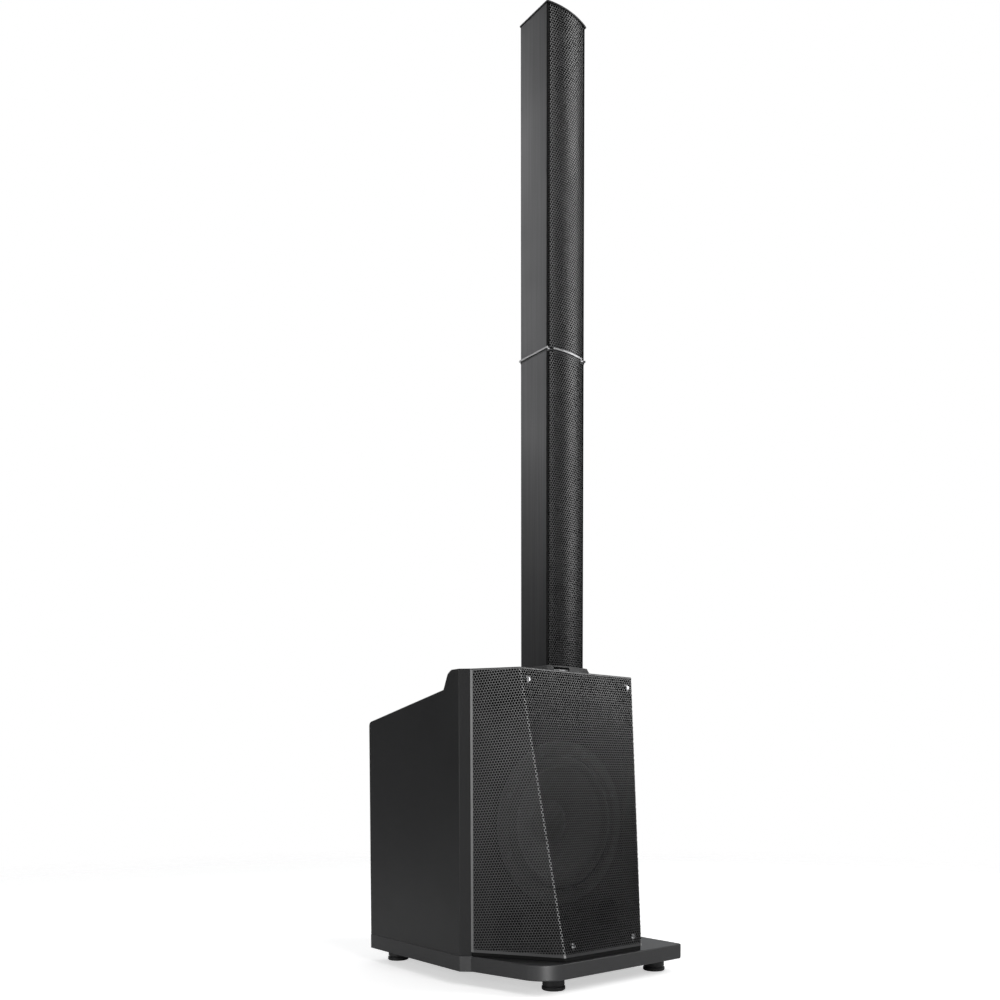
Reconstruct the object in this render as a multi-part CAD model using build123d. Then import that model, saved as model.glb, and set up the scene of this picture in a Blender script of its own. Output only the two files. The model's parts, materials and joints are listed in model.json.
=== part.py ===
from build123d import *
import math
import os

# Portable column loudspeaker. Millimetres, +Z up, the front faces -Y.
# The origin is on the floor, under the middle of the footprint.

# ---- Driving dimensions: subwoofer cabinet ----
CABINET_WIDTH = 428.0
FOOTPRINT_DEPTH = 516.0
HOOD_TOP = 603.0
HOOD_UNDERSIDE = 556.0
HOOD_WALL = 8.0
FOOT_HEIGHT = 28.0
FOOT_RADIUS = 22.4
FOOT_SEAT = 14.0
FOOT_PLACES = [(-93.0, -206.0), (185.0, -206.0), (-161.0, 232.0), (161.0, 232.0)]
PLINTH_THICKNESS = 30.0
PLINTH_CORNER_X = -158.0
PLINTH_CORNER_RADIUS = 62.0
PLINTH_SMALL_RADIUS = 8.0
PLINTH_EDGE_RADIUS = 2.5
BOARD = 18.0
CHAMFER = 15.5
BEZEL_Y = -88.0
REAR_TOP = 517.0
REAR_TOP_RADIUS = 10.0
STEP_FOOT = (-22.0, 567.0)
STEP_FOOT_RADIUS = 5.0
STEP_MID = (-36.0, 596.0)
STEP_MID_RADIUS = 9.0
STEP_HEAD = (-48.0, 603.0)
STEP_HEAD_RADIUS = 10.0
NOSE_BACK = -72.0
NOSE_UPSTAND = 42.0
NOSE_UPSTAND_BACK = -226.0
BAFFLE_HALF = 165.2
BAFFLE_FRONT = -124.0

# ---- Driving dimensions: folded grille of the cabinet ----
SHEET = 1.5
GRILLE_BOTTOM = 66.0
GRILLE_EDGE_X = 198.4
FOLD_TOP = (147.5, -173.0)
FOLD_BOTTOM_Y = -249.0
LIP = 10.0
GRILLE_SCREW_PLACES = [(-131.0, 580.0), (131.0, 580.0), (-80.0, 86.0), (80.0, 86.0)]

# ---- Driving dimensions: screws ----
HEAD_RADIUS = 5.0
SCREW_HEAD = 3.2
RECESS_WIDTH = 1.1
SHANK_RADIUS = 2.2
POINT_LENGTH = 5.0
LONG_SCREW = 24.0
SHORT_SCREW = 14.0
GRILLE_SCREW = 15.0

# ---- Driving dimensions: woofer (12 inch class) and ports ----
WOOFER_Z = 308.0
WOOFER_HOLE = 141.0
WOOFER_SCREWS = 8
WOOFER_SCREW_CIRCLE = 148.5
FLANGE_RADIUS = 163.0
FLANGE_THICKNESS = 4.0
BASKET_OUTER = 140.0
BASKET_INNER = 134.0
BASKET_SHOULDER = -110.0
BASKET_BACK = -40.0
BASKET_STEEL = 3.0
BASKET_WINDOWS = 6
GASKET_THICKNESS = 3.0
CONE_FRONT = -121.0
CONE_NECK = -80.0
CONE_PAPER = 2.0
CONE_RADIUS = 112.0
SURROUND_ROLL = 9.5
SURROUND_RUBBER = 1.2
SPIDER_Y = -66.0
SPIDER_RADIUS = 97.5
SPIDER_CLOTH = 1.2
DUST_CAP_RADIUS = 46.0
DUST_CAP_FRONT = -85.4
DUST_CAP_RISE = 15.6
COIL_RADIUS = 39.3
COIL_WALL = 1.8
COIL_BACK = -34.0
MAGNET_INNER = 44.0
MAGNET_RADIUS = 78.0
MAGNET_BACK = -18.0
POLE_RADIUS = 36.5
YOKE_RADIUS = 76.0
YOKE_THICKNESS = 8.0
PORT_X = 125.0
PORT_Z = 113.0
PORT_RADIUS = 33.0
PORT_WALL = 3.0
PORT_RIM = 4.0
PORT_BACK = 20.0

# ---- Driving dimensions: carry handle ----
HANDLE_Y = 128.0
HANDLE_CUP = (150.0, 62.0, 40.0)
HANDLE_RIM = 8.0
HANDLE_RIM_THICKNESS = 2.5
HANDLE_WALL = 3.0
HANDLE_CORNER = 10.0
GRIP_RADIUS = 8.5
GRIP_DEPTH = 9.0

# ---- Driving dimensions: rear panel ----
PANEL_WIDTH = 300.0
PANEL_HEIGHT = 350.0
PANEL_Z = 285.0
PANEL_RECESS = 22.0
PANEL_SHEET = 3.0
PANEL_RIM = 15.0
PANEL_SCREW_INSET = 8.0
KNOB_Z = 300.0
KNOB_XS = {"mic_knob": -90.0, "line_knob": -30.0, "bass_knob": 30.0}
KNOB_RADIUS = 8.8
KNOB_SKIRT_RADIUS = 10.5
KNOB_FLUTES = 12
FLUTE_RADIUS = 1.6
SHAFT_RADIUS = 3.0
SHAFT_LENGTH = 13.0
BUSHING_RADIUS = 4.5
BUTTON_X = 90.0
BUTTON_HALF = 4.0
SOCKET_Z = 228.0
COMBO_XS = (-90.0, -40.0)
COMBO_RADIUS = 11.8
COMBO_FLANGE = (27.0, 32.0)
PHONO_XS = (20.0, 50.0, 90.0)
PHONO_RADIUS = 4.8
POWER_Z = 165.0
INLET_X = -55.0
INLET_HALF = (14.6, 10.6)
ROCKER_X = 50.0
ROCKER_BODY_HALF = (8.8, 12.8)
ROCKER_RADIUS = 10.8
ROCKER_HALF_WIDTH = 6.8
ROCKER_REST = 7.0
ROCKER_FACE = 4.5
BEZEL_THICKNESS = 2.5
TRAY_FRONT = 140.0
TRAY_INSET = 22.0
HEAT_SINK_HALF = 120.0
HEAT_SINK_Z = (345.0, 432.0)
HEAT_SINK_BASE = 4.0
FIN_COUNT = 19
FIN_THICKNESS = 2.5
BOARD_FRONT = 196.0
BOARD_THICKNESS = 1.6
BOARD_HALF = 118.0
BOARD_Z = (140.0, 430.0)

# ---- Driving dimensions: column ----
COLUMN_WIDTH = 97.0
COLUMN_FRONT = -135.0
COLUMN_BACK = -55.0
COLUMN_BULGE = 8.0
COLUMN_BASE = 606.0
LOWER_LENGTH = 609.0
UPPER_LENGTH = 634.0
SHELL_CORNER = 2.5
END_PLATE = 3.5
PLATE_PROUD = 2.0
PLATE_NOTCH = (37.0, 48.0)
CAP_PROUD = 1.5
WALL = 3.0
GROOVE = 2.0
FRONT_WALL_DEPTH = 14.0
COLUMN_SHEET = 1.2
COLLAR_HEIGHT = 13.0
COLLAR_MARGIN = 10.5
COLLAR_BACK_MARGIN = 6.5
COLLAR_FLARE = 6.0
COLLAR_WINDOW = (-40.0, -3.0)
PLUG_SIZE = (56.0, 32.0, 36.0)
PLUG_CORNER = 5.0
PLUG_Y = -91.0
PIN_SPREAD = (18.0, 8.0)
PIN_RADIUS = 2.0
PIN_LENGTH = 8.0

# ---- Driving dimensions: column drivers ----
DRIVERS_PER_SEGMENT = 6
DRIVER_PITCH = 92.0
DRIVER_FIRST = 52.0
DRIVER_HOLE = 35.0
DRIVER_FLANGE = 40.0
DRIVER_FLANGE_THICKNESS = 2.0
DRIVER_SHOULDER = 6.0
DRIVER_FRAME_DEPTH = 26.0
DRIVER_MAGNET_DEPTH = 16.0
DRIVER_MAGNET_RADIUS = 24.0
DRIVER_CONE_RADIUS = 28.0
DRIVER_SURROUND_RADIUS = 33.0
DRIVER_STEEL = 1.5

# ---- Driving dimensions: clearances ----
FIT_GAP = 0.5
BOARD_GAP = 0.2
PLUG_GAP = 0.4
RUNNING_GAP = 0.06
PAST = 1.0  # how far a cutting solid runs past the face it cuts

# ---- Worked out from the driving dimensions ----
HALF_WIDTH = CABINET_WIDTH / 2
HALF_DEPTH = FOOTPRINT_DEPTH / 2
INNER_X = HALF_WIDTH - BOARD
PLINTH_TOP = FOOT_HEIGHT + PLINTH_THICKNESS
BACK_INNER = HALF_DEPTH - BOARD
TOP_SLOPE = (STEP_FOOT[1] - REAR_TOP) / (HALF_DEPTH - STEP_FOOT[0])
TOP_DROP = BOARD * math.sqrt(1 + TOP_SLOPE**2)
FACET_SLOPE = (GRILLE_EDGE_X - FOLD_TOP[0]) / (BEZEL_Y - FOLD_TOP[1])
FRONT_LEAN = (FOLD_TOP[1] - FOLD_BOTTOM_Y) / (HOOD_TOP - GRILLE_BOTTOM)
NOSE_INSET = SHEET + FIT_GAP
HOOD_NOSE_TOP = HOOD_TOP - SHEET - 0.3
NOSE_FLOOR = PLINTH_TOP + BOARD
BAFFLE_BACK = BAFFLE_FRONT + BOARD
WOOFER_FACE = BAFFLE_FRONT - FLANGE_THICKNESS
HALF_COLUMN = COLUMN_WIDTH / 2
PANEL_FLOOR = HALF_DEPTH - PANEL_RECESS
PANEL_FLOOR_BACK = PANEL_FLOOR - PANEL_SHEET
FLANGE_FACE = HALF_DEPTH - SCREW_HEAD - 0.2
FLANGE_SEAT = FLANGE_FACE - PANEL_SHEET
ROCKER_AXIS_Y = PANEL_FLOOR - 1.0
SOCKET_OUTER = (PLUG_SIZE[0] / 2 + 5, PLUG_SIZE[1] / 2 + 4)
DRIVER_WALL_FRONT = COLUMN_FRONT + FRONT_WALL_DEPTH
DRIVER_FRONT = DRIVER_WALL_FRONT - DRIVER_FLANGE_THICKNESS
DRIVER_FRAME_BACK = DRIVER_WALL_FRONT + DRIVER_FRAME_DEPTH
DRIVER_MAGNET_BACK = DRIVER_FRAME_BACK + DRIVER_MAGNET_DEPTH
LOWER = COLUMN_BASE
UPPER = COLUMN_BASE + LOWER_LENGTH


# ---- Small helpers ----
def block(x0, x1, y0, y1, z0, z1):
    """A box from its lowest to its highest corner."""
    middle = Pos((x0 + x1) / 2, (y0 + y1) / 2, (z0 + z1) / 2)
    return middle * Box(x1 - x0, y1 - y0, z1 - z0)


def block_around(x, z, half_x, half_z, y0, y1):
    """A box along Y around a point of the XZ plane."""
    return block(x - half_x, x + half_x, y0, y1, z - half_z, z + half_z)


def plan_prism(points, z0, z1):
    """A prism over a plan outline of (x, y) points."""
    return Pos(0, 0, z0) * extrude(Polygon(*points, align=None), z1 - z0, dir=(0, 0, 1))


def side_prism(points, x0, x1):
    """A prism across X over a side outline of (y, z) points."""
    return Pos(x0, 0, 0) * extrude(Plane.YZ * Polygon(*points, align=None), x1 - x0, dir=(1, 0, 0))


def turned_y(points):
    """A solid turned about the Y axis from (radius, y) points."""
    return revolve(make_face(Polyline(*points, close=True)), Axis.Y)


def turned_z(points):
    """A solid turned about the Z axis from (radius, z) points."""
    return revolve(Plane.XZ * make_face(Polyline(*points, close=True)), Axis.Z)


def ring_y(inner, outer, y0, y1):
    """A plain ring about the Y axis."""
    return turned_y([(inner, y0), (outer, y0), (outer, y1), (inner, y1)])


def rod_y(radius, y0, y1, x, z):
    """A round bar along Y."""
    return Pos(x, (y0 + y1) / 2, z) * Rot(90, 0, 0) * Cylinder(radius, y1 - y0)


def round_corner(outline, corner, radius):
    """The outline with the corner nearest the given point rounded."""
    vertex = outline.vertices().sort_by_distance(corner)[0]
    return fillet(vertex, radius)


def both_sides(right):
    """The right-hand solid and its mirror image."""
    return [right, mirror(right, Plane.YZ)]


def group(solids):
    """Separate solids kept side by side in one node."""
    return Compound([solid for item in solids for solid in item.solids()])


def top_height(y):
    """Height of the sloping top panel's upper face."""
    return REAR_TOP + (HALF_DEPTH - y) * TOP_SLOPE


def nose_corner(z, inset):
    """Right-hand fold of the grille at height z, moved inward by inset."""
    edge_x = GRILLE_EDGE_X - inset * math.hypot(1, FACET_SLOPE)
    front = FOLD_BOTTOM_Y + (z - GRILLE_BOTTOM) * FRONT_LEAN
    y = front + inset * math.hypot(1, FRONT_LEAN)
    return edge_x - (BEZEL_Y - y) * FACET_SLOPE, y


def nose_outline(z, inset, back_y):
    """Plan outline of the grille's nose at height z, closed at back_y."""
    x, y = nose_corner(z, inset)
    back_x = GRILLE_EDGE_X - inset * math.hypot(1, FACET_SLOPE) - (BEZEL_Y - back_y) * FACET_SLOPE
    return [(-back_x, back_y), (-x, y), (x, y), (back_x, back_y)]


def nose_body(z0, z1, inset, back_y):
    """Solid that fills the nose between two heights."""
    low = Pos(0, 0, z0) * Polygon(*nose_outline(z0, inset, back_y), align=None)
    high = Pos(0, 0, z1) * Polygon(*nose_outline(z1, inset, back_y), align=None)
    return loft([low.face(), high.face()], ruled=True)


# ---- Base and feet ----
def base_plinth():
    corners = [
        (-HALF_WIDTH, HALF_DEPTH),
        (-HALF_WIDTH, BEZEL_Y + CHAMFER),
        (-HALF_WIDTH + CHAMFER, BEZEL_Y),
        (PLINTH_CORNER_X, -HALF_DEPTH),
        (HALF_WIDTH, -HALF_DEPTH),
        (HALF_WIDTH, HALF_DEPTH),
    ]
    outline = Polygon(*corners, align=None)
    outline = round_corner(outline, (PLINTH_CORNER_X, -HALF_DEPTH), PLINTH_CORNER_RADIUS)
    outline = round_corner(outline, (HALF_WIDTH, -HALF_DEPTH), PLINTH_SMALL_RADIUS)
    board = Pos(0, 0, FOOT_HEIGHT) * extrude(outline, PLINTH_THICKNESS)
    level = [edge for edge in board.edges() if abs(edge.tangent_at(0.5).Z) < 0.1]
    front = [edge for edge in level if edge.center().Y < BEZEL_Y - BOARD]
    return fillet(front, PLINTH_EDGE_RADIUS)


def rubber_feet():
    bore = SHANK_RADIUS + FIT_GAP
    profile = [
        (bore, FOOT_HEIGHT),
        (FOOT_RADIUS - 1.9, FOOT_HEIGHT),
        (FOOT_RADIUS - 1.2, 10),
        (FOOT_RADIUS - 2.8, 9),
        (FOOT_RADIUS - 2.8, 7.5),
        (FOOT_RADIUS, 6.5),
        (FOOT_RADIUS, 1.5),
        (FOOT_RADIUS - 1.4, 0),
        (HEAD_RADIUS + 3, 0),
        (HEAD_RADIUS + 3, FOOT_SEAT),
        (bore, FOOT_SEAT),
    ]
    foot = turned_z(profile)
    return group([Pos(x, y, 0) * foot for x, y in FOOT_PLACES])


def wood_screw(length):
    """A pan-head screw with a cross recess, head up, with the underside of its head at the origin."""
    profile = [
        (0, 0),
        (HEAD_RADIUS, 0),
        (HEAD_RADIUS, 1.4),
        (3.6, SCREW_HEAD - 0.2),
        (0, SCREW_HEAD),
    ]
    head = turned_z(profile)
    slot = Box(6, RECESS_WIDTH, 2.4) + Box(RECESS_WIDTH, 6, 2.4)
    point = -length + POINT_LENGTH
    shank = turned_z([(0, 0.5), (SHANK_RADIUS, 0.5), (SHANK_RADIUS, point), (0, -length)])
    return (head - Pos(0, 0, SCREW_HEAD - 0.2) * slot) + shank


def woofer_screws(screw):
    screws = []
    step = 360 / WOOFER_SCREWS
    for turn in range(WOOFER_SCREWS):
        angle = math.radians(step / 2 + step * turn)
        x = WOOFER_SCREW_CIRCLE * math.cos(angle)
        z = WOOFER_Z + WOOFER_SCREW_CIRCLE * math.sin(angle)
        screws.append(Pos(x, WOOFER_FACE, z) * Rot(90, 0, 0) * screw)
    return screws


def panel_screws(screw):
    screws = []
    rim_x = PANEL_WIDTH / 2 - PANEL_SCREW_INSET
    rim_z = PANEL_HEIGHT / 2 - PANEL_SCREW_INSET
    for x in (-rim_x, rim_x):
        for z in (-rim_z, -rim_z / 3, rim_z / 3, rim_z):
            screws.append(Pos(x, FLANGE_FACE, PANEL_Z + z) * Rot(-90, 0, 0) * screw)
    return screws


def fixing_screws():
    """The screws of the feet, the woofer and the rear panel."""
    long = wood_screw(LONG_SCREW)
    screws = [Pos(x, y, FOOT_SEAT) * Rot(180, 0, 0) * long for x, y in FOOT_PLACES]
    screws += woofer_screws(long)
    screws += panel_screws(wood_screw(SHORT_SCREW))
    return group(screws)


# ---- Cabinet boards ----
def side_panel():
    """The right-hand side board, with the raised hood profile at its front."""
    points = [
        (HALF_DEPTH, PLINTH_TOP),
        (HALF_DEPTH, REAR_TOP),
        STEP_FOOT,
        STEP_MID,
        STEP_HEAD,
        (BEZEL_Y, HOOD_TOP),
        (BEZEL_Y, PLINTH_TOP),
    ]
    outline = Polygon(*points, align=None)
    outline = round_corner(outline, (HALF_DEPTH, REAR_TOP), REAR_TOP_RADIUS)
    outline = round_corner(outline, STEP_MID, STEP_MID_RADIUS)
    outline = round_corner(outline, STEP_HEAD, STEP_HEAD_RADIUS)
    outline = round_corner(outline, STEP_FOOT, STEP_FOOT_RADIUS)
    board = Pos(INNER_X, 0, 0) * extrude(Plane.YZ * outline, BOARD)
    wedge = [
        (HALF_WIDTH + PAST, BEZEL_Y - PAST),
        (HALF_WIDTH - CHAMFER - PAST, BEZEL_Y - PAST),
        (HALF_WIDTH + PAST, BEZEL_Y + CHAMFER + PAST),
    ]
    return board - plan_prism(wedge, PLINTH_TOP - PAST, HOOD_TOP + PAST)


def top_panel():
    front = STEP_FOOT[0] + BOARD_GAP
    points = [
        (HALF_DEPTH, REAR_TOP),
        (front, top_height(front)),
        (front, top_height(front) - TOP_DROP),
        (HALF_DEPTH, REAR_TOP - TOP_DROP),
    ]
    outline = Polygon(*points, align=None)
    outline = round_corner(outline, (HALF_DEPTH, REAR_TOP), REAR_TOP_RADIUS)
    board = Pos(-INNER_X, 0, 0) * extrude(Plane.YZ * outline, 2 * INNER_X)
    length, width, depth = HANDLE_CUP
    return board - handle_place() * Box(length + PLUG_GAP, width + PLUG_GAP, 2 * depth)


def back_panel():
    top_back = REAR_TOP - TOP_DROP
    points = [
        (BACK_INNER, PLINTH_TOP),
        (HALF_DEPTH, PLINTH_TOP),
        (HALF_DEPTH, top_back),
        (BACK_INNER, top_back + BOARD * TOP_SLOPE),
    ]
    board = side_prism(points, -INNER_X, INNER_X)
    half_x = PANEL_WIDTH / 2
    half_z = PANEL_HEIGHT / 2
    hole = PANEL_RIM - PAST
    board -= block_around(0, PANEL_Z, half_x - hole, half_z - hole, BACK_INNER - PAST, HALF_DEPTH + PAST)
    board -= block_around(0, PANEL_Z, half_x + FIT_GAP, half_z + FIT_GAP, FLANGE_SEAT, HALF_DEPTH + PAST)
    return board


def baffle_board():
    board = block(-BAFFLE_HALF, BAFFLE_HALF, BAFFLE_FRONT, BAFFLE_BACK, NOSE_FLOOR, HOOD_UNDERSIDE)
    board -= rod_y(WOOFER_HOLE, BAFFLE_FRONT - PAST, BAFFLE_BACK + PAST, 0, WOOFER_Z)
    for x in (-PORT_X, PORT_X):
        board -= rod_y(PORT_RADIUS, BAFFLE_FRONT - PAST, BAFFLE_BACK + PAST, x, PORT_Z)
    return board


def baffle_cheeks():
    """Upright fillers that close the box between the baffle and the side boards."""
    edge_x = GRILLE_EDGE_X - NOSE_INSET * math.hypot(1, FACET_SLOPE)
    points = [
        (INNER_X - BOARD_GAP, NOSE_BACK),
        (INNER_X - BOARD_GAP, BEZEL_Y),
        (edge_x - (BEZEL_Y - BAFFLE_FRONT) * FACET_SLOPE, BAFFLE_FRONT),
        (BAFFLE_HALF, BAFFLE_FRONT),
        (BAFFLE_HALF, NOSE_BACK),
    ]
    return group(both_sides(plan_prism(points, NOSE_FLOOR, HOOD_UNDERSIDE)))


def nose_base():
    """Moulded floor of the nose, with an upstand that takes the lower grille screws."""
    body = nose_body(PLINTH_TOP, PLINTH_TOP + NOSE_UPSTAND, NOSE_INSET, NOSE_BACK)
    inner = INNER_X - BOARD_GAP
    body &= block(-inner, inner, -HALF_DEPTH, NOSE_BACK, 0, HOOD_TOP)
    return body - block(-HALF_WIDTH, HALF_WIDTH, NOSE_UPSTAND_BACK, NOSE_BACK + PAST, NOSE_FLOOR, HOOD_TOP)


def hood_block():
    """The hood's outside, before it is hollowed."""
    profile = [
        (STEP_FOOT[0], HOOD_UNDERSIDE),
        STEP_FOOT,
        STEP_MID,
        STEP_HEAD,
        (BEZEL_Y, HOOD_TOP),
        (BEZEL_Y, HOOD_NOSE_TOP),
        (FOLD_TOP[1], HOOD_NOSE_TOP),
        (FOLD_TOP[1], HOOD_UNDERSIDE),
    ]
    outline = Polygon(*profile, align=None)
    outline = round_corner(outline, STEP_MID, STEP_MID_RADIUS)
    outline = round_corner(outline, STEP_HEAD, STEP_HEAD_RADIUS)
    inner = INNER_X - BOARD_GAP
    body = Pos(-inner, 0, 0) * extrude(Plane.YZ * outline, 2 * inner)
    nose = nose_outline(HOOD_TOP, NOSE_INSET, STEP_FOOT[0] + PAST)
    return body & plan_prism(nose, HOOD_UNDERSIDE - PAST, HOOD_TOP + PAST)


def front_hood():
    """Moulded hood that caps the nose and carries the column."""
    x, y = nose_corner(HOOD_TOP, NOSE_INSET + HOOD_WALL - 2)
    side = INNER_X - HOOD_WALL
    back = BEZEL_Y + 30
    hollow = [(-side, back), (-side, BEZEL_Y), (-x, y), (x, y), (side, BEZEL_Y), (side, back)]
    pocket = plan_prism(hollow, HOOD_UNDERSIDE - PAST, HOOD_TOP - HOOD_WALL)
    half_x = SOCKET_OUTER[0]
    front = PLUG_Y - SOCKET_OUTER[1]
    rear = PLUG_Y + SOCKET_OUTER[1]
    boss = 7.0
    pillar = block(-half_x - 11, half_x + 11, front - boss, BEZEL_Y + 38, HOOD_UNDERSIDE - 2, HOOD_TOP)
    body = hood_block() - (pocket - pillar)
    return body - block(-half_x, half_x, front, rear, HOOD_UNDERSIDE - PAST, HOOD_TOP + PAST)


# ---- Folded grille of the cabinet ----
def sub_grille():
    outer = nose_body(GRILLE_BOTTOM, HOOD_TOP, 0, BEZEL_Y)
    inner = nose_body(GRILLE_BOTTOM - 2, HOOD_TOP - SHEET, SHEET, BEZEL_Y + 4)
    opening = plan_prism(nose_outline(HOOD_TOP, LIP, BEZEL_Y + 4), HOOD_TOP - 2 * SHEET, HOOD_TOP + PAST)
    return outer - inner - opening


def grille_screws():
    """Four bright pan-head screws square to the leaning front facet."""
    screw = wood_screw(GRILLE_SCREW)
    lean = math.degrees(math.atan(FRONT_LEAN))
    screws = []
    for x, z in GRILLE_SCREW_PLACES:
        y = nose_corner(z, 0)[1]
        screws.append(Pos(x, y, z) * Rot(90 - lean, 0, 0) * screw)
    return group(screws)


# ---- Woofer ----
def at_woofer(solid):
    return Pos(0, 0, WOOFER_Z) * solid


def woofer_basket():
    ledge = COIL_RADIUS + BASKET_STEEL - 0.3
    profile = [
        (FLANGE_RADIUS, WOOFER_FACE),
        (FLANGE_RADIUS, BAFFLE_FRONT),
        (BASKET_OUTER, BAFFLE_FRONT),
        (BASKET_OUTER, BASKET_SHOULDER),
        (84, BASKET_BACK - 4),
        (84, BASKET_BACK),
        (ledge, BASKET_BACK),
        (ledge, BASKET_BACK - BASKET_STEEL),
        (80, BASKET_BACK - BASKET_STEEL),
        (BASKET_INNER, BASKET_SHOULDER),
        (BASKET_INNER, WOOFER_FACE),
    ]
    basket = turned_y(profile)
    window = block(92, 150, -104, -60, -34, 34)
    for turn in range(BASKET_WINDOWS):
        basket -= Rot(0, 360 / BASKET_WINDOWS * turn, 0) * window
    return at_woofer(basket)


def woofer_gasket():
    outer = WOOFER_HOLE + FIT_GAP
    inner = BASKET_INNER + 3
    front = WOOFER_FACE - GASKET_THICKNESS
    return at_woofer(ring_y(inner, outer, front, WOOFER_FACE))


def woofer_magnet():
    return at_woofer(ring_y(MAGNET_INNER, MAGNET_RADIUS, BASKET_BACK, MAGNET_BACK))


def woofer_yoke():
    front = BASKET_BACK - BASKET_STEEL
    back = MAGNET_BACK + YOKE_THICKNESS
    profile = [
        (0, front),
        (POLE_RADIUS, front),
        (POLE_RADIUS, MAGNET_BACK),
        (YOKE_RADIUS, MAGNET_BACK),
        (YOKE_RADIUS, back),
        (0, back),
    ]
    return at_woofer(turned_y(profile))


def rolled_ring(inner, outer, base, height, thickness):
    """A half-roll ring, such as a loudspeaker's surround."""
    middle = (inner + outer) / 2
    behind = base + thickness
    front = ThreePointArc((inner, base), (middle, base - height), (outer, base))
    back = ThreePointArc((outer, behind), (middle, behind - height), (inner, behind))
    ends = [Line(front @ 1, back @ 0), Line(back @ 1, front @ 0)]
    return revolve(make_face([front, back] + ends), Axis.Y)


def woofer_surround():
    inner = CONE_RADIUS + BOARD_GAP
    outer = BASKET_INNER - BOARD_GAP
    return at_woofer(rolled_ring(inner, outer, CONE_FRONT, SURROUND_ROLL, SURROUND_RUBBER))


def woofer_spider():
    return at_woofer(ring_y(COIL_RADIUS + 0.3, SPIDER_RADIUS, SPIDER_Y, SPIDER_Y + SPIDER_CLOTH))


def woofer_cone():
    neck = COIL_RADIUS + 0.5
    profile = [
        (CONE_RADIUS, CONE_FRONT),
        (CONE_RADIUS, CONE_FRONT + CONE_PAPER),
        (neck, CONE_NECK + CONE_PAPER),
        (neck, CONE_NECK),
    ]
    return at_woofer(turned_y(profile))


def dome_arc(rim, rim_y, rise):
    """Arc of a dome whose centre lies on the Y axis, from its crown to its rim."""
    radius = (rim**2 + rise**2) / (2 * rise)
    half = math.asin(rim / radius) / 2
    crown = rim_y - rise
    middle = (radius * math.sin(half), crown + radius * (1 - math.cos(half)))
    return ThreePointArc((0, crown), middle, (rim, rim_y))


def woofer_dust_cap():
    front = dome_arc(DUST_CAP_RADIUS, DUST_CAP_FRONT, DUST_CAP_RISE)
    back = dome_arc(DUST_CAP_RADIUS, DUST_CAP_FRONT + SURROUND_RUBBER, DUST_CAP_RISE)
    ends = [Line(front @ 1, back @ 1), Line(back @ 0, front @ 0)]
    return at_woofer(revolve(make_face([front, back] + ends), Axis.Y))


def woofer_voice_coil():
    return at_woofer(ring_y(COIL_RADIUS - COIL_WALL, COIL_RADIUS, CONE_NECK - 3, COIL_BACK))


def port_tubes():
    inner = PORT_RADIUS - PORT_WALL
    rim = BAFFLE_FRONT - PORT_WALL
    profile = [
        (inner + PORT_RIM, rim),
        (PORT_RADIUS + PORT_RIM, rim),
        (PORT_RADIUS + PORT_RIM, BAFFLE_FRONT),
        (PORT_RADIUS, BAFFLE_FRONT),
        (PORT_RADIUS, PORT_BACK),
        (inner, PORT_BACK),
        (inner, BAFFLE_FRONT + 6),
    ]
    tube = turned_y(profile)
    return group([Pos(x, 0, PORT_Z) * tube for x in (-PORT_X, PORT_X)])


# ---- Carry handle, let into the sloping top ----
def handle_place():
    """Plane of the top panel's upper face at the handle."""
    tilt = -math.degrees(math.atan(TOP_SLOPE))
    return Pos(0, HANDLE_Y, top_height(HANDLE_Y)) * Rot(tilt, 0, 0)


def carry_handle():
    length, width, depth = HANDLE_CUP
    rim = RectangleRounded(length + 2 * HANDLE_RIM, width + 2 * HANDLE_RIM, HANDLE_CORNER)
    cup = extrude(rim, HANDLE_RIM_THICKNESS) + Pos(0, 0, -depth / 2) * Box(length, width, depth)
    cup -= Pos(0, 0, -depth / 2 + HANDLE_WALL) * Box(length - 2 * HANDLE_WALL, width - 2 * HANDLE_WALL, depth)
    grip = Pos(0, 0, -GRIP_DEPTH) * Rot(0, 90, 0) * Cylinder(GRIP_RADIUS, length - HANDLE_WALL - PAST)
    return handle_place() * (cup + grip)


# ---- Rear input and amplifier panel ----
def panel_openings():
    """Cutters for every control and socket of the rear panel."""
    low = PANEL_FLOOR_BACK - PAST
    high = PANEL_FLOOR + PAST
    cutters = [rod_y(BUSHING_RADIUS + 0.1, low, high, x, KNOB_Z) for x in KNOB_XS.values()]
    cutters += [rod_y(COMBO_RADIUS + BOARD_GAP, low, high, x, SOCKET_Z) for x in COMBO_XS]
    cutters += [rod_y(PHONO_RADIUS + BOARD_GAP, low, high, x, SOCKET_Z) for x in PHONO_XS]
    places = [
        (BUTTON_X, KNOB_Z, (BUTTON_HALF + BOARD_GAP, BUTTON_HALF + BOARD_GAP)),
        (ROCKER_X, POWER_Z, ROCKER_BODY_HALF),
        (INLET_X, POWER_Z, INLET_HALF),
    ]
    for x, z, (half_x, half_z) in places:
        cutters.append(block_around(x, z, half_x + BOARD_GAP, half_z + BOARD_GAP, low, high))
    return cutters


def amp_panel():
    half_x = PANEL_WIDTH / 2
    half_z = PANEL_HEIGHT / 2
    outer_x = half_x - PANEL_RIM
    outer_z = half_z - PANEL_RIM
    plate = block_around(0, PANEL_Z, half_x, half_z, FLANGE_SEAT, FLANGE_FACE)
    plate += block_around(0, PANEL_Z, outer_x, outer_z, PANEL_FLOOR_BACK, FLANGE_SEAT)
    inner_x = outer_x - PANEL_SHEET
    inner_z = outer_z - PANEL_SHEET
    plate -= block_around(0, PANEL_Z, inner_x, inner_z, PANEL_FLOOR, HALF_DEPTH + PAST)
    for cutter in panel_openings():
        plate -= cutter
    return plate


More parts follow.
